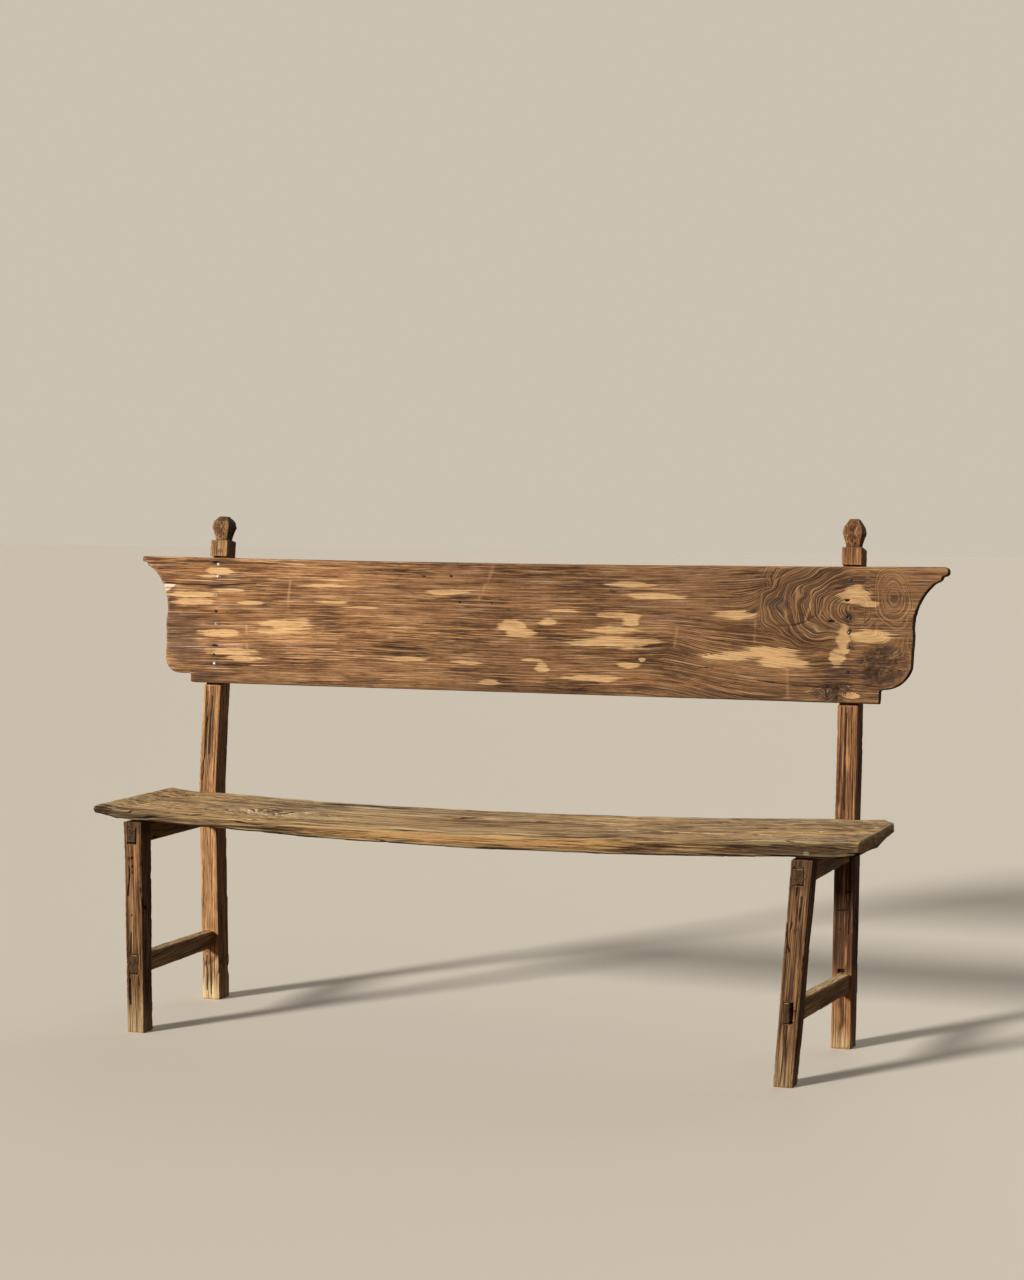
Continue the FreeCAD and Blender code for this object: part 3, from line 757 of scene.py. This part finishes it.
# %% Rings round the two eyes
# place along, place up, reach to the left and to the right, half height, width of a ring, in millimetres
eyes = [(752, 196, 214, 100, 132, 23), (821, 221, 40, 38, 60, 12)]
waver = noise(local, (80, 45, 50), 33) + 0.4 * noise(local, (30, 20, 50), 34)
uneven = noise(local, (60, 40, 50), 55)
swirl, rings, around = np.zeros(len(local)), np.zeros(len(local)), np.zeros_like(local)
for x, y, left, right, half_height, ring in eyes:
    aside, aloft = along - x * MM, height - y * MM
    aside = aside + 0.35 * rise(-aloft, 0.02, 0.12) * aloft
    reach = np.where(aside < 0, left, right) * MM
    far = np.hypot(aside / reach, aloft / (half_height * MM)) * (1 + 0.20 * waver)
    inside = far < 1.12
    swirl = np.where(inside, rise(1.12 - far, 0, 0.22), swirl * rise(far, 1.12, 1.4))
    rings = np.where(inside, far * left / ring + 0.7 * uneven, rings)
    across_rings = far * left * MM
    turned = np.stack([np.arctan2(aloft, -aside) * left * MM / 3, across_rings, back], axis=1)
    around = np.where(inside[:, None], turned, around)
swirl *= front * rise(height, 0.035, 0.085)
swirl *= np.where(along < 0.76, rise(0.742 - along, -0.012, 0.03), 0.6)
crest = np.exp(-(((rings % 1) - 0.5) / 0.14) ** 2) * swirl
print("rings:", int(rings.max()))

# %% Flakes, holes and stains on the board
flakes = [
    (-732, 252, 38, 7), (-806, 197, 58, 8), (-800, 182, 52, 7), (-731, 112, 58, 9), (-555, 133, 66, 13),
    (-590, 118, 80, 6), (-655, 181, 34, 4), (-690, 70, 66, 8), (-672, 56, 48, 6), (-275, 64, 64, 5),
    (-176, 214, 46, 7), (-20, 142, 30, 17), (0, 128, 40, 11), (63, 152, 19, 8), (53, 55, 15, 12),
    (255, 236, 56, 6), (312, 212, 66, 7), (222, 170, 40, 6), (252, 160, 18, 13), (210, 139, 58, 7),
    (217, 114, 92, 12), (150, 108, 40, 5), (248, 64, 27, 6), (486, 178, 50, 9), (470, 90, 66, 9),
    (560, 100, 60, 10), (590, 78, 56, 13), (740, 222, 32, 20), (770, 205, 24, 7), (716, 128, 14, 34),
    (705, 96, 16, 22), (774, 139, 44, 14), (-760, 240, 30, 3), (-705, 208, 40, 4), (-470, 222, 60, 3),
    (-380, 176, 50, 3), (-120, 60, 40, 4), (30, 70, 26, 3), (280, 76, 8, 5), (100, 178, 40, 3),
]
glowing = [(-69, 19, 27, 7), (171, 35, 66, 7), (-455, 186, 46, 4), (738, 14, 16, 6)]
bare = ovals(flat, flakes + glowing)
bare += noise(grain, (50, 4.5), 35) * 0.30 + noise(local, 12, 36) * 0.10
loose_flakes = noise(grain, (50, 4.5), 37) + 0.5 * noise(local, (300, 80), 38)
bare = np.maximum(bare, (loose_flakes - 1.2) * 1.2)
bare = np.where(front > 0.3, bare, -1)

holes = [
    (-166, 248, 4, 4), (-143, 191, 3, 3), (-68, 190, 3, 3), (-231, 247, 5, 3), (-738, 160, 5, 4),
    (-739, 62, 4, 3), (-738, 83, 12, 3), (-742, 271, 14, 4), (727, 176, 8, 5), (730, 148, 6, 4),
    (722, 212, 7, 4), (690, 168, 11, 4),
]
stains = [
    (-742, 241, 40, 7), (-738, 132, 42, 7), (-742, 44, 30, 8), (-741, 216, 24, 5), (-738, 84, 38, 6),
    (-732, 270, 34, 7), (735, 250, 46, 12), (727, 176, 20, 14), (728, 206, 30, 8), (726, 64, 60, 12),
    (733, 116, 14, 10), (800, 66, 60, 40), (575, 200, 34, 26), (700, 30, 40, 24), (-850, 186, 16, 44),
    (-822, 112, 70, 66), (-800, 66, 60, 40), (-760, 14, 50, 14),
]
hole = rise(ovals(flat, holes), 0.0, 0.5) * front
stain = rise(ovals(flat, stains) + noise(grain, (40, 5), 39) * 0.35, -0.1, 0.7) * 0.85
print("flakes:", len(flakes) + len(glowing), "holes:", len(holes), "stains:", len(stains))

# %% Board cracks and scratches
board_cracks = [
    # places along and up, then how far the crack's shadow reaches and how dark it is
    ([(-870, 224), (-830, 221), (-760, 219), (-700, 222), (-640, 224)], 3.6, 0.9),
    ([(-640, 224), (-560, 226)], 3.0, 0.5),
    ([(579, 156), (610, 158), (636, 166), (656, 178)], 3.2, 0.8),
    ([(380, 92), (410, 89), (440, 95), (470, 92)], 3.4, 0.7),
    ([(400, 62), (450, 66), (500, 63)], 3.6, 0.6),
    ([(540, 40), (620, 33), (690, 30), (712, 26)], 4.0, 0.7),
    ([(-330, 232), (-250, 229), (-120, 227)], 2.6, 0.5),
    ([(707, 36), (708, 0)], 3.4, 0.7),
    ([(707, 36), (760, 37), (808, 34)], 3.4, 0.7),
]
wobble = np.stack([along, height + noise(local, (60, 30), 40) * 1.5 * MM], axis=1)
cracks = [near_line(wobble, line, reach) * dark for line, reach, dark in board_cracks]
cracks = np.max(cracks, axis=0) * front
hair_checks = 1 - np.abs(noise(grain, (320, 9), 41))
hair_checks = rise(hair_checks, 0.95, 0.998) * patches(grain, 300, 40, 42, 0.0, 0.5)
bumps = rough(local, 8, 43)
gouge = rise(oval(wobble, 781, 62, 24, 11), 0, 0.6) * front
scratches = [
    ([(-64, 275), (-107, 187)], 8), ([(-555, 232), (-562, 150)], 4), ([(-660, 128), (-650, 20)], 5),
    ([(-210, 70), (-214, 30)], 4), ([(528, 176), (526, 120)], 4), ([(356, 150), (352, 108)], 4),
    ([(600, 60), (602, 10)], 4),
]
scratched = np.max([near_line(flat, *scratch) for scratch in scratches], axis=0) * front
scratched *= patches(local, 12, 20, 44, -0.5, 0.3)
print("cracks:", len(board_cracks), "scratches:", len(scratches))

# %% Board wear
softness = 0.5 + 0.4 * noise(local, (100, 80), 45)
skin.soften(1, np.clip(softness, 0.2, 0.9))
arris = rise(skin.sharpness(5), 0.1 * MM, 0.8 * MM)
chips = rise(noise(local, (35, 30, 20), 46), 0.45, 0.8) * arris
groove = rough(grain, (140, 4.5), 47)
foot_piece = rise(along, 0.705, 0.709) * rise(0.035 - height, 0, 0.003)
splinters = 0.5 + 0.5 * rough(local, (20, 12, 10), 49)
depth = MM * (
    groove * (0.18 - 0.08 * swirl)
    + patches(local, 120, 50, 48, 0.1, 0.9) * 0.9 * front
    + rise(bare, -0.02, 0.15) * 0.7
    + cracks * 3.5
    + hair_checks * 1.2 * front
    + burl * (0.5 + bumps) * 3.4
    + gouge * 6
    + hole * 3.5
    + chips * 1.6
    + foot_piece * front * splinters * 2.5
    + (0.5 * swirl - crest) * 1.1
)
skin.sink(depth)

# %% Board tones and finish
chip_line = np.interp(along, [-0.875, -0.845, -0.84], [0.200, 0.219, 0.30])
lilac_chip = rise(-along, 0.836, 0.842) * rise(height - chip_line, -2 * MM, 1 * MM)
lilac_chip *= rise(0.219 - height, 0, 2 * MM) * front
mottled = rise(bumps, -0.25, 0.35) * 0.75 + 0.25 * patches(local, 30, 30, 54, -0.5, 0.5)
stain = np.maximum(stain, patches(grain, 300, 7, 51, 0.05, 0.75) * 0.30)
stain = np.maximum(stain, burl * mottled * (1 - foot_piece)) * (1 - lilac_chip)
stain += rim * (0.25 + 0.5 * rise(-skin.facing[:, 0], 0.2, 0.7))
lower_edge = rise(0.020 - height + 6 * MM * noise(local, 100, 50), 0, 0.014)
# The board is lighter towards the left end and darker towards the right. This is partly the wood's own
# colour and partly painted falloff of the light, which was stronger at the left.
tint = (0.54 - 0.30 * rise(0.11 - height, 0, 0.09)) * rise(-along, -0.05, 0.75)
tint += 0.16 * rough(grain, (300, 35), 52) - 0.28 * lower_edge * (1 - foot_piece)
# The thin strip along the top edge is lighter: a worn arris, and a painted highlight where the edge
# catches the light.
tint += 0.20 * rise(height, 0.272, 0.279) - 0.10 * rise(height, 0.19, 0.24) * rise(along, -0.3, 0.1)
tint -= 0.10 * rise(along, 0.2, 0.5)
# Rims that don't face up, and faces that turn right, away from the lamp, are darkened: painted shade.
tint = tint * front - (0.5 - 0.5 * rise(skin.facing[:, 2], 0.3, 0.8)) * rim
tint -= 0.2 * rise(skin.facing[:, 0], 0.2, 0.7)
tint -= foot_piece * 0.15 + 0.22 * burl * (1 - foot_piece)
bleached_streaks = rise(-along, 0.3, 0.8) * patches(grain, 200, 20, 53, 0, 0.7) * front
dress(
    skin, "back_board", board_wood, "board",
    grain=grain,
    around=around,
    rings=rings,
    swirl=swirl,
    crack=np.clip(np.maximum(cracks, hole) + hair_checks * 0.35 + gouge * 0.45, 0, 1),
    bare=bare,
    stain=np.clip(stain, 0, 1),
    pale=lilac_chip * 2 + bleached_streaks * 0.1,
    worn=np.clip(arris * front * 0.3 + scratched + lilac_chip, 0, 1),
    tint=tint,
)

# %% [markdown]
# ## Legs and posts
# All four uprights are riven, so their fibres follow each bar, even where a post is bent. Their grain
# is measured from the bar's own middle line, which is read from the CAD node's corners. The fronts
# have deep grooves, the feet are bleached in scallops, and each upright has marks of its own.


# %% Coordinates along a bar
def cad_corners(node):
    """The corners of a CAD node's mesh."""
    return np.array([vertex.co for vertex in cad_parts[node].data.vertices])


def middle_line(node, axis, stations):
    """The middle of a CAD node's section at some places along an axis, as rows of x, y and z."""
    corners, rows = cad_corners(node), []
    for station in stations:
        there = corners[np.abs(corners[:, axis] - station) < 3 * MM]
        row = (there.min(axis=0) + there.max(axis=0)) / 2
        row[axis] = station
        rows.append(row)
    return np.array(rows)


def along_bar(points, line, axis):
    """Grain coordinates: along the bar, and across it on both sides of its middle line."""
    sides = [other for other in range(3) if other != axis]
    place = points[:, axis]
    offsets = [points[:, side] - np.interp(place, line[:, axis], line[:, side]) for side in sides]
    return np.stack([place, *offsets], axis=1)


# %% Wear that all bars share
def worn_bar(node, cell, axis, stations, seed, grooves=1.0):
    """A bar's skin with rounded arrises, grooves and checks, and its grain coordinates and checks."""
    skin = Skin(even_skin(node, cell))
    line = middle_line(node, axis, stations)
    grain = along_bar(skin.points, line, axis)
    grain[:, 1:] += noise(grain, (250, 50), seed)[:, None] * 2 * MM
    softness = 0.5 + 0.4 * noise(skin.points, 50, seed + 1)
    skin.soften(2, np.clip(softness, 0.1, 0.8))
    arris = rise(skin.sharpness(6), 0.08 * MM, 0.5 * MM)
    groove = rough(grain, (120, 5), seed + 2)
    checks = 1 - np.abs(noise(grain, (180, 9), seed + 3))
    checks = rise(checks, 0.92, 0.995) * patches(grain, 150, 20, seed + 4, -0.1, 0.3)
    chips = rise(noise(skin.points, (20, 20, 30), seed + 5), 0.4, 0.8) * arris
    depth = MM * (
        groove * 0.8 * grooves
        + checks * 2.2 * grooves
        + rise(noise(skin.points, (40, 40, 90), seed + 6), 0.0, 0.9) * 0.8
        + chips * 1.6
    )
    return skin, grain, arris, checks, depth


def end_outline(node):
    """The left, right, bottom and top of a rail's front end, in metres."""
    corners = cad_corners(node)
    tip = corners[corners[:, 1] < corners[:, 1].min() + 10 * MM]
    return tip[:, 0].min(), tip[:, 0].max(), tip[:, 2].min(), tip[:, 2].max()


# %% Marks that all uprights have
def upright_marks(skin, marks, reach):
    """Flat places on an upright's front, how squarely each faces forwards, its cracks and its holes."""
    flat = skin.points[:, (0, 2)]
    front = rise(-skin.facing[:, 1], 0.5, 0.8)
    wobble = flat + noise(skin.points, 20, marks["seed"] + 7)[:, None] * (1.5 * MM, 0)
    cracks = near_lines(wobble, marks["cracks"], reach) * front
    return flat, front, cracks, rise(ovals(flat, marks["holes"]), 0, 0.5) * front


def bleached_foot(skin, grain, marks):
    """How washed out the foot is, from 1 at the floor to 0 above a scalloped edge, and the edge itself."""
    height, blur = marks["foot"] * MM, marks["blur"] * MM
    scallops = noise(grain * (0, 1, 1), (1000, 8), marks["seed"] + 8) * 22 * MM
    below = height + scallops - skin.points[:, 2]
    return rise(below, -blur, blur), np.exp(-((below + blur * 0.8) / (7 * MM)) ** 2)


# %% Front legs
LEG_CELL = 1.3 * MM
leg_marks = {
    "front_leg_left": dict(
        cracks=[
            [(-752, 372), (-750, 330), (-752, 290)], [(-741, 250), (-742, 150), (-739, 60)],
            [(-748, 120), (-747, 10)],
        ],
        holes=[(-745, 371, 3.2, 4), (-743, 353, 2.5, 3), (-741, 341, 2, 4)],
        tenons=("seat_rail_left", "stretcher_left"),
        stained_above=424, foot=56, blur=60, washed=0.72, seed=61,
    ),
    "front_leg_right": dict(
        cracks=[
            [(726, 392), (722, 360), (716, 320), (714, 300)],
            [(735, 372), (732, 340), (729, 306)],
            [(692, 170), (688, 90), (690, 4)],
        ],
        holes=[(727, 150, 2, 3)],
        tenons=("seat_rail_right", "stretcher_right"),
        stained_above=385, foot=60, blur=90, washed=0.55, seed=71,
    ),
}
for node, marks in leg_marks.items():
    seed = marks["seed"]
    leg_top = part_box(node)[1][2]
    skin, grain, arris, checks, depth = worn_bar(node, LEG_CELL, 2, (0, leg_top), seed, 1.2)
    flat, front, cracks, holes = upright_marks(skin, marks, 2.8)
    # Faces turned left, towards the lamp: made paler below, partly as a painted highlight.
    left = rise(-skin.facing[:, 0], 0.2, 0.7)
    cracks *= rise(noise(skin.points, (10, 10, 20), seed + 12), -0.9, 0.1)
    for rail in marks["tenons"]:
        x0, x1, z0, z1 = (value / MM for value in end_outline(rail))
        gap = near_line(flat, [(x0, z1), (x1, z1), (x1, z0), (x0, z0)], 2.4) * front
        cracks = np.maximum(cracks, gap)
    foot = bleached_foot(skin, grain, marks)[0]
    skin.sink(depth + MM * (cracks * 4 + holes * 4 + foot * checks * 1.5))
    # Faces turned right, away from the lamp: the tint darkens them below as painted shade.
    right = rise(skin.facing[:, 0], 0.2, 0.7)
    capped = rise(flat[:, 1] / MM, marks["stained_above"] - 12, marks["stained_above"] + 12)
    dark_streaks = patches(grain, 200, 12, seed + 10, 0.0, 0.7) * 0.75
    dress(
        skin, node, leg_wood, "frame",
        grain=grain,
        crack=np.clip(cracks + holes + checks * 0.7, 0, 1),
        bare=rough(grain, (120, 8), seed + 9) - 0.50 - 0.5 * foot - 0.6 * capped,
        stain=np.maximum(capped * 0.8, dark_streaks * (1 - foot)),
        # Feet and arrises that face left, towards the lamp, are paler: partly bleaching and wear, partly a
        # painted highlight.
        pale=foot * marks["washed"] + left * foot * 0.4,
        worn=np.clip(arris * (0.7 + 0.8 * left), 0, 1),
        # The last term of the tint is painted shade on the faces turned away from the lamp.
        tint=0.15 * noise(grain, (150, 20), seed + 11) - 0.12 * capped - 0.2 * right,
    )

# %% [markdown]
# ### Rear posts
# The posts carry the board and end in finials. The left finial is worn almost round, the right one
# still has its carved facets. Below the seat the right post has kept a dark red finish.

# %% Marks of the rear posts
POST_CELL = 1.8 * MM
BLOCK_FOOT = 1.004
post_marks = {
    "back_post_left": dict(
        wood=left_post_wood, seed=81, foot=82, blur=5,
        finial_softness=1, top_tints=(-0.25, -0.5), shaft_tint=0.28,
        cracks=[
            [(-757, 700), (-758, 600), (-761, 500)], [(-745, 690), (-747, 560)],
            [(-752, 100), (-751, 20)], [(-763, 92), (-762, 30)], [(-742, 96), (-741, 12)],
        ],
        stains=[(-738, 1090, 15, 8), (-742, 1018, 10, 6), (-752, 130, 14, 34)],
        holes=[], mortise=None,
    ),
    "back_post_right": dict(
        wood=right_post_wood, seed=91, foot=92, blur=12,
        finial_softness=0, top_tints=(0.3, -0.15), shaft_tint=0.08,
        cracks=[[(727, 700), (725, 610), (728, 500)], [(742, 400), (741, 240)], [(716, 290), (738, 292)]],
        stains=[(724, 1080, 12, 8), (730, 1043, 16, 4), (727, 104, 12, 34), (729, 76, 6, 34)],
        holes=[(738, 330, 2, 3), (722, 250, 2, 2)], mortise=(716, 731.5, 158, 167),
    ),
}
print("posts:", list(post_marks))

# %% Rear posts
for node, marks in post_marks.items():
    seed = marks["seed"]
    stations = (0, BEND[1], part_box(node)[1][2] - 1 * MM)
    skin, grain, arris, checks, depth = worn_bar(node, POST_CELL, 2, stations, seed)
    height = skin.points[:, 2]
    finial = rise(height, BLOCK_FOOT + 30 * MM, BLOCK_FOOT + 40 * MM)
    block = rise(height, BLOCK_FOOT, BLOCK_FOOT + 3 * MM) * (1 - finial)
    skin.soften(marks["finial_softness"], finial * 0.9)
    flat, front, cracks, holes = upright_marks(skin, marks, 2.4)
    if marks["mortise"]:
        left_edge, right_edge, bottom, top_edge = np.array(marks["mortise"]) * MM
        in_hole = (flat[:, 0] > left_edge) & (flat[:, 0] < right_edge)
        in_hole &= (height > bottom) & (height < top_edge)
        holes = np.maximum(holes, in_hole * front * 2)
    foot, edge = bleached_foot(skin, grain, marks)
    depth *= 1 - 0.5 * finial
    skin.sink(depth + MM * (cracks * 3 + holes * 4 + foot * checks * 1.5))
    ragged_rim = 0.3 * noise(skin.points, (6, 6, 12), seed + 12)
    marked = rise(ovals(flat, marks["stains"]) + ragged_rim, 0, 0.6)
    stain = patches(grain, 200, 12, seed + 10, 0.0, 0.8) * 0.6 * (1 - finial) * (1 - block)
    stain = np.maximum(stain, marked * 0.9 * front)
    pale = foot * (0.30 + 0.60 * rise(-height, -0.06, 0.0))
    block_tint, finial_tint = marks["top_tints"]
    tint = 0.12 * noise(grain, (150, 20), seed + 11) + marks["shaft_tint"] * front
    # Faces that turn right, away from the lamp, are darkened: painted shade.
    tint += block_tint * block + finial_tint * finial - 0.2 * rise(skin.facing[:, 0], 0.2, 0.7)
    if node == "back_post_left":
        stain = np.maximum(stain, edge * 0.9)
    else:
        below_seat = rise(-height, -0.47, -0.44) * rise(height, 0.13, 0.2)
        left_half = rise(-grain[:, 1], -2 * MM, 3 * MM)
        left_half *= rise(height, 0.44, 0.5) * rise(-height, -0.7, -0.6)
        stain = np.max([stain, below_seat * 0.9 * front, left_half * 0.7], axis=0)
        right_arris = skin.points[np.abs(height - 0.30) < 4 * MM, 0].max()
        paint_line = [(right_arris / MM - 3, 365), (right_arris / MM - 3, 245)]
        scraped = near_line(flat, paint_line, 2.5) * front
        scraped *= rise(noise(skin.points, (1000, 1000, 12), 97), -0.3, 0.3)
        chip = 1.6 * oval(flat, 712.5, 1067, 3.5, 4)
        pale = np.max([pale * (0.7 - 0.7 * marked), scraped, chip], axis=0)
        tint -= 0.45 * below_seat
    dress(
        skin, node, marks["wood"], "frame",
        grain=grain,
        crack=np.clip(cracks + holes + checks * 0.5, 0, 1),
        bare=rough(grain, (100, 8), seed + 9) - 0.55 - 0.5 * foot,
        stain=stain,
        pale=pale,
        worn=arris * 0.8,
        tint=tint,
    )

# %% [markdown]
# ## Rails and stretchers
# Four crosswise bars, tenoned through the legs. The tenons' ends show on the legs' fronts, greyed and
# shrunk loose in their mortises, so there each one is made a little smaller on the sides where the
# real gap shows.

# %% Rails and stretchers
BAR_CELL = 1.6 * MM
TENON_LENGTH = 40 * MM
bar_marks = {
    # how far the tenon has shrunk: right side, top, underside, in millimetres, and how bright the top is
    "seat_rail_left": dict(shrunk=(2.8, 0.8, 2.8), bright=0, seed=101),
    "seat_rail_right": dict(shrunk=(1.4, 1.4, 1.2), bright=0, seed=111),
    "stretcher_left": dict(shrunk=(1.0, 1.8, 2.0), bright=0.5, seed=121),
    "stretcher_right": dict(shrunk=(8.5, 1.4, 1.2), bright=0.75, seed=131),
}
for node, marks in bar_marks.items():
    seed = marks["seed"]
    near, far = (corner[1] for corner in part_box(node))
    skin, grain, arris, checks, depth = worn_bar(node, BAR_CELL, 1, (near, far), seed, 0.8)
    shoulder = near + TENON_LENGTH
    in_leg = rise(-skin.points[:, 1], -shoulder, -shoulder + 2 * MM)
    x0, x1, z0, z1 = end_outline(node)
    right_gap, top_gap, under_gap = np.array(marks["shrunk"]) * MM
    skin.points[:, 0] -= in_leg * right_gap * np.clip((skin.points[:, 0] - x0) / (x1 - x0), 0, 1)
    place = np.clip((skin.points[:, 2] - z0) / (z1 - z0), 0, 1)
    skin.points[:, 2] += in_leg * (under_gap * (1 - place) - top_gap * place)
    skin.find_facing()
    skin.sink(depth)
    tenon_end = rise(-skin.facing[:, 1], 0.5, 0.8) * in_leg
    upper = rise(skin.facing[:, 2], 0.4, 0.8)
    dress(
        skin, node, rail_wood, "frame",
        grain=grain,
        crack=checks * 0.6,
        bare=np.where(upper > 0.5, rough(grain, (60, 8), seed + 9) + 0.1, -1),
        stain=tenon_end * 0.95 + patches(grain, 100, 10, seed + 10, 0.1, 0.8) * 0.5,
        pale=upper * marks["bright"],
        worn=arris * (1 - 0.7 * tenon_end),
        tint=-0.45 * tenon_end + (upper * 0.3 + 0.25) * marks["bright"] * (1 - in_leg),
    )

# %% [markdown]
# ## Forged nails
# Each nail is a square tapered shank under a low faceted head, struck by hand, so no two heads are
# alike. Geometry Nodes place one nail on every point, spin it, vary its size and pit its surface.
# The points come from the CAD nails themselves: the middle of each head.


# %% Where the nails are
NAIL_HEAD = 10 * MM
NAIL_HEAD_HEIGHT = 2.2 * MM
NAIL_LENGTH = 46 * MM
UP = np.array([0.0, 0.0, 1.0])
BOARD_OUT = np.array([0.0, -math.cos(RAKE), math.sin(RAKE)])


def nail_points(node, outwards):
    """The middle of the underside of each nail's head. The head is the end that is furthest outwards."""
    shape = welded(node)
    left, places = set(shape.verts), []
    while left:
        island, edge_of_island = set(), [next(iter(left))]
        while edge_of_island:
            vertex = edge_of_island.pop()
            if vertex in island:
                continue
            island.add(vertex)
            edge_of_island += [edge.other_vert(vertex) for edge in vertex.link_edges]
        left -= island
        corners = np.array([vertex.co for vertex in island])
        reach = corners @ outwards
        head = corners[reach > reach.max() - NAIL_HEAD_HEIGHT * 1.2]
        places.append(head.mean(axis=0) - outwards * NAIL_HEAD_HEIGHT / 2)
    shape.free()
    return sorted(tuple(place) for place in places)


print("nails in the left post:", len(nail_points("board_nails_left", BOARD_OUT)))


# %% The nail tree
def nail_tree(iron):
    """A node tree that puts a forged nail on every point."""
    lengths = dict.fromkeys(("Head", "Head Height", "Length", "Tilt", "Rubbed_and_lit"), "Float")
    nodes, ins, out = new_group(
        "Forged nails", {"Geometry": "Geometry"} | lengths | {"Seed": "Int"}, {"Geometry": "Geometry"},
        kind="GeometryNodeTree",
    )

    def luck(low, high):
        """A random number for each nail."""
        inputs = {2: low, 3: high, "Seed": ins["Seed"]}
        return nodes.add("FunctionNodeRandomValue", inputs, data_type="FLOAT").outputs[1]

    head = nodes.add("GeometryNodeMeshCone", {
        "Vertices": 9, "Side Segments": 2, "Fill Segments": 2, "Depth": ins["Head Height"],
        "Radius Top": nodes.times(ins["Head"], 0.2), "Radius Bottom": nodes.times(ins["Head"], 0.5),
    })
    shank = nodes.add("GeometryNodeMeshCone", {
        "Vertices": 4, "Side Segments": 4, "Depth": ins["Length"],
        "Radius Top": nodes.times(ins["Head"], 0.06), "Radius Bottom": nodes.times(ins["Head"], 0.29),
    })
    flip = nodes.add("GeometryNodeTransform", {"Geometry": shank.outputs[0], "Rotation": (math.pi, 0, 0)})
    whole = nodes.add("GeometryNodeJoinGeometry")
    for part in (head, flip):
        nodes.feed(whole, {0: part.outputs[0]})
    tilt = nodes.add("ShaderNodeCombineXYZ", {"X": ins["Tilt"]}).outputs[0]
    placed = nodes.add("GeometryNodeInstanceOnPoints", {
        "Points": ins["Geometry"], "Instance": whole.outputs[0],
        "Rotation": tilt, "Scale": luck(0.84, 1.0),
    })
    spin = nodes.add("ShaderNodeCombineXYZ", {"Z": luck(0.0, 2 * math.pi)}).outputs[0]
    inputs = {"Instances": placed.outputs[0], "Rotation": spin, "Local Space": True}
    spun = nodes.add("GeometryNodeRotateInstances", inputs)
    rubbed_and_lit = nodes.math("ADD", ins["Rubbed_and_lit"], luck(-0.25, 0.25))
    inputs = {"Geometry": spun.outputs[0], "Name": "rubbed_and_lit", "Value": rubbed_and_lit}
    marked = nodes.add("GeometryNodeStoreNamedAttribute", inputs, domain="INSTANCE")
    real = nodes.add("GeometryNodeRealizeInstances", {0: marked.outputs[0]})
    pits = nodes.add("ShaderNodeTexNoise", {"Scale": 260.0}).outputs[0]
    depth = nodes.times(nodes.math("SUBTRACT", pits, 0.75), 1.2 * MM)
    normal = nodes.add("GeometryNodeInputNormal").outputs[0]
    push = nodes.add("ShaderNodeVectorMath", {0: normal, "Scale": depth}, operation="SCALE")
    pitted = nodes.add("GeometryNodeSetPosition", {"Geometry": real.outputs[0], "Offset": push.outputs[0]})
    painted = nodes.add("GeometryNodeSetMaterial", {"Geometry": pitted.outputs[0], "Material": iron})
    nodes.feed(out, {0: painted.outputs[0]})
    return nodes.tree


# %% [markdown]
# Old iron is dark and rusty in its pits and grey where hands and cloths have rubbed the high spots.
# Cloudy noise picks between the two, and sets how metallic and how rough each place is. The nails at
# the left are made brighter than those at the right, partly as rubbed iron and partly as painted light,
# for the light was stronger at the left. So each one carries a number for that.

# %% Iron
iron, nodes, shader = new_material("nail iron")
place = nodes.add("ShaderNodeTexCoord").outputs["Object"]
cloudy = nodes.add("ShaderNodeTexNoise", {"Vector": place, "Scale": 420.0, "Detail": 4.0}).outputs[0]
rubbed_and_lit = nodes.math("MULTIPLY_ADD", nodes.field("rubbed_and_lit"), 0.45, nodes.times(cloudy, -1.0))
grey = nodes.step(rubbed_and_lit, -0.42, -0.18)
bump = nodes.add("ShaderNodeBump", {"Height": cloudy, "Strength": 0.6, "Distance": 0.4 * MM})
nodes.feed(shader, {
    "Base Color": nodes.mix(grey, colour(46, 34, 32), colour(196, 190, 184)),
    "Metallic": nodes.step(grey, 0, 1, 0.05, 0.45),
    "Roughness": nodes.step(grey, 0, 1, 0.85, 0.45),
    "Normal": bump.outputs[0],
})
print("iron nodes:", len(iron.node_tree.nodes))

# %% Drive the nails
forged = nail_tree(iron)
# The left row's higher value is partly painted light: the light was stronger at the left.
for node, outwards, seed, rubbed_and_lit in (
    ("board_nails_left", BOARD_OUT, 1, 0.75),
    ("board_nails_right", BOARD_OUT, 2, 0.1),
    ("seat_nails_left", UP, 3, 0.2),
    ("seat_nails_right", UP, 4, 0.2),
):
    points = bpy.data.meshes.new(node + "_points")
    points.from_pydata(nail_points(node, outwards), [], [])
    carrier = linked_object(node + "_carrier", points)
    modifier = carrier.modifiers.new("nails", "NODES")
    modifier.node_group = forged
    tilt = math.atan2(-outwards[1], outwards[2])
    values = {"Head": NAIL_HEAD, "Head Height": NAIL_HEAD_HEIGHT, "Length": NAIL_LENGTH}
    values |= {"Tilt": tilt, "Rubbed_and_lit": rubbed_and_lit, "Seed": seed}
    for item in forged.interface.items_tree:
        if item.in_out == "INPUT" and item.name in values:
            modifier[item.identifier] = values[item.name]
    piece = linked_object(node + "_iron", with_modifiers(carrier))
    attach(piece, "root")
    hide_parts(node)
    print(piece.name, len(piece.data.polygons), "faces")
